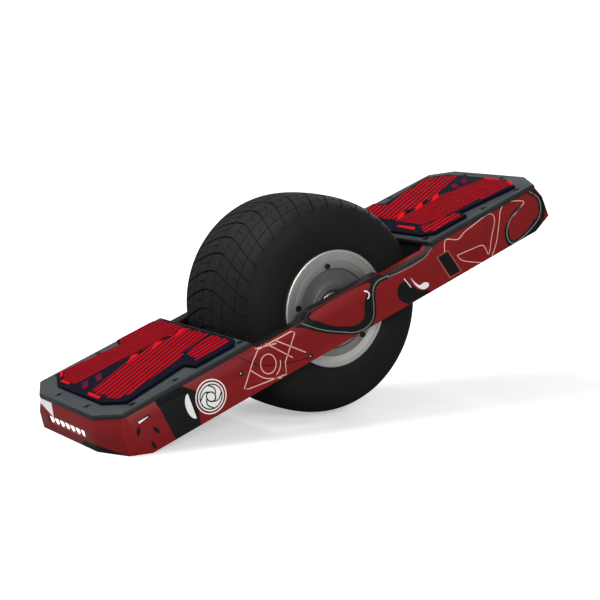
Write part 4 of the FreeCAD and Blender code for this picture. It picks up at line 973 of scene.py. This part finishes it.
def place_camera():
    """The camera, CAMERA_REACH from its aim and slipped a little across its view."""
    back = Vector((math.sin(CAMERA_TURN) * math.cos(CAMERA_RISE),
                   -math.cos(CAMERA_TURN) * math.cos(CAMERA_RISE), math.sin(CAMERA_RISE)))
    right = Vector((0, 0, 1)).cross(back).normalized()
    up = back.cross(right)
    camera = bpy.data.objects.new("camera", bpy.data.cameras.new("camera"))
    bpy.context.scene.collection.objects.link(camera)
    camera.data.lens = CAMERA_LENS
    camera.location = (CAMERA_AIM + back * CAMERA_REACH + right * CAMERA_SLIP[0]
                       + up * CAMERA_SLIP[1])
    camera.rotation_mode = "QUATERNION"
    camera.rotation_quaternion = (-back).to_track_quat("-Z", "Y")
    bpy.context.scene.camera = camera


# ---------------------------------------------------------------- everything together


# Painted patches: (x, y) outlines on the tops of the guards, and (y, z) outlines on the
# ends of the bumpers, which are turned half round for the tail.
LEFT_TOP = [(-148, 90), (148, 90), (148, 120), (-148, 120)]
RIGHT_TOP_BLACK = [(-148, -120), (67, -120), (67, -90), (-148, -90)]
RIGHT_TOP_SLATE = [(67, -120), (148, -120), (148, -106.5), (67, -106.5)]
WHITE_CORNER = [(-79, 26), (-44, 26), (-34, 9.5), (-79, 20.5)]
BLACK_CORNER = [(30, -13), (44, -4.5), (77, -2.5), (119, -21), (119, -34), (30, -34)]
SHELL_ROUND = 0.8
SOFT_ROUND = 0.9
COVER_ROUND = 0.35
PLATE_TOP_LEAST = 0.8  # how far up a face must point to keep the plate's own finish


def shells():
    """Guards with dark lips, bumpers with painted corners, plates with painted side shade."""
    up = (0, 0, 1)
    softened("left_rail_guard", SHELL_ROUND, "shell_print",
             patches=[(INKS["black"], LEFT_TOP, up)])
    softened("right_rail_guard", SHELL_ROUND, "shell_print",
             patches=[(INKS["black"], RIGHT_TOP_BLACK, up),
                      (INKS["slate"], RIGHT_TOP_SLATE, up)])
    for end_name, end, plan in (("nose", 1, NOSE_PAD), ("tail", -1, TAIL_PAD)):
        softened(end_name + "_bumper", SOFT_ROUND, "shell_print", patches=[
            (INKS[ink], [(end * y, z) for y, z in corner], (end, 0, 0))
            for ink, corner in (("white", WHITE_CORNER), ("black", BLACK_CORNER))])
        # The plate's sides and edges get painted shade.
        softened(end_name + "_footpad_base", SHELL_ROUND, "plate_plastic",
                 paint=[(PLATE_SIDE_SHADE, lambda normal, spot: normal.z < PLATE_TOP_LEAST)])
        softened(end_name + "_grip_pad", SOFT_ROUND, "grip")
        pad_art(end_name, plan)


SCREWS_SEEN = [(-174, 1.5), (-76, -24.5)]
SCREW_DOME = 1.5
DOME_DEPTH = 0.3


def screw_glints():
    """Bright domed centres on the guard screws that show against the red."""
    for number, (x, z) in enumerate(SCREWS_SEEN):
        for side_name, side in (("left", 1), ("right", -1)):
            shape = bmesh.new()
            bmesh.ops.create_uvsphere(shape, u_segments=16, v_segments=8,
                                      radius=SCREW_DOME)
            for vertex in shape.verts:
                vertex.co = (x + vertex.co.x,
                             side * (GUARD_OUT - DOME_DEPTH) + vertex.co.y * DOME_DEPTH,
                             z + vertex.co.z)
            add_piece(f"guard_screw_centre_{side_name}_{number + 1}", shape, BOARD,
                      FINISH["steel"], "board")


def hub_covers():
    """Motor covers with rounded edges, smooth across their shallow dish."""
    for side_name in ("left", "right"):
        softened(side_name + "_motor_cover", COVER_ROUND, "cover_metal", body="wheel",
                 angle=32)


SHIELD_INNER = 13.2
SHIELD_RISE = 1.2
SHIELD_FACETS = 72


def boss_rings():
    """Polished metal shields with a rounded face over the shaft seals."""
    high = board_box("shaft_seals")[1]
    start, inner, outer = high.y - 1.7, SHIELD_INNER, high.z - 0.1
    profile = [(start, inner), (high.y - 0.2, inner + 0.6), (high.y, inner + 2.5)]
    profile += [(high.y + SHIELD_RISE * math.sin(math.pi * t / 6), inner + 2.5 + t * 1.15)
                for t in range(1, 6)]
    profile += [(high.y, outer - 1.5), (high.y - 0.5, outer), (start, outer)]
    turns = [math.tau * i / SHIELD_FACETS for i in range(SHIELD_FACETS)]
    shape = bmesh.new()
    for side in (1, -1):
        rows = [[shape.verts.new((r * math.sin(turn), side * y, r * math.cos(turn)))
                 for turn in turns] for y, r in profile]
        for j, row in enumerate(rows):
            after = rows[(j + 1) % len(rows)]
            for i in range(SHIELD_FACETS):
                k = (i + 1) % SHIELD_FACETS
                shape.faces.new([row[i], row[k], after[k], after[i]])
    add_piece("shaft_seal_shields", shape, WHEEL, FINISH["steel"], "wheel",
              ["shaft_seals"])


dress_nodes()
shells()
near_side_art()
far_side_art()
screw_glints()
hub_covers()
boss_rings()
build_tyre()
stage_floor()
studio()
place_camera()
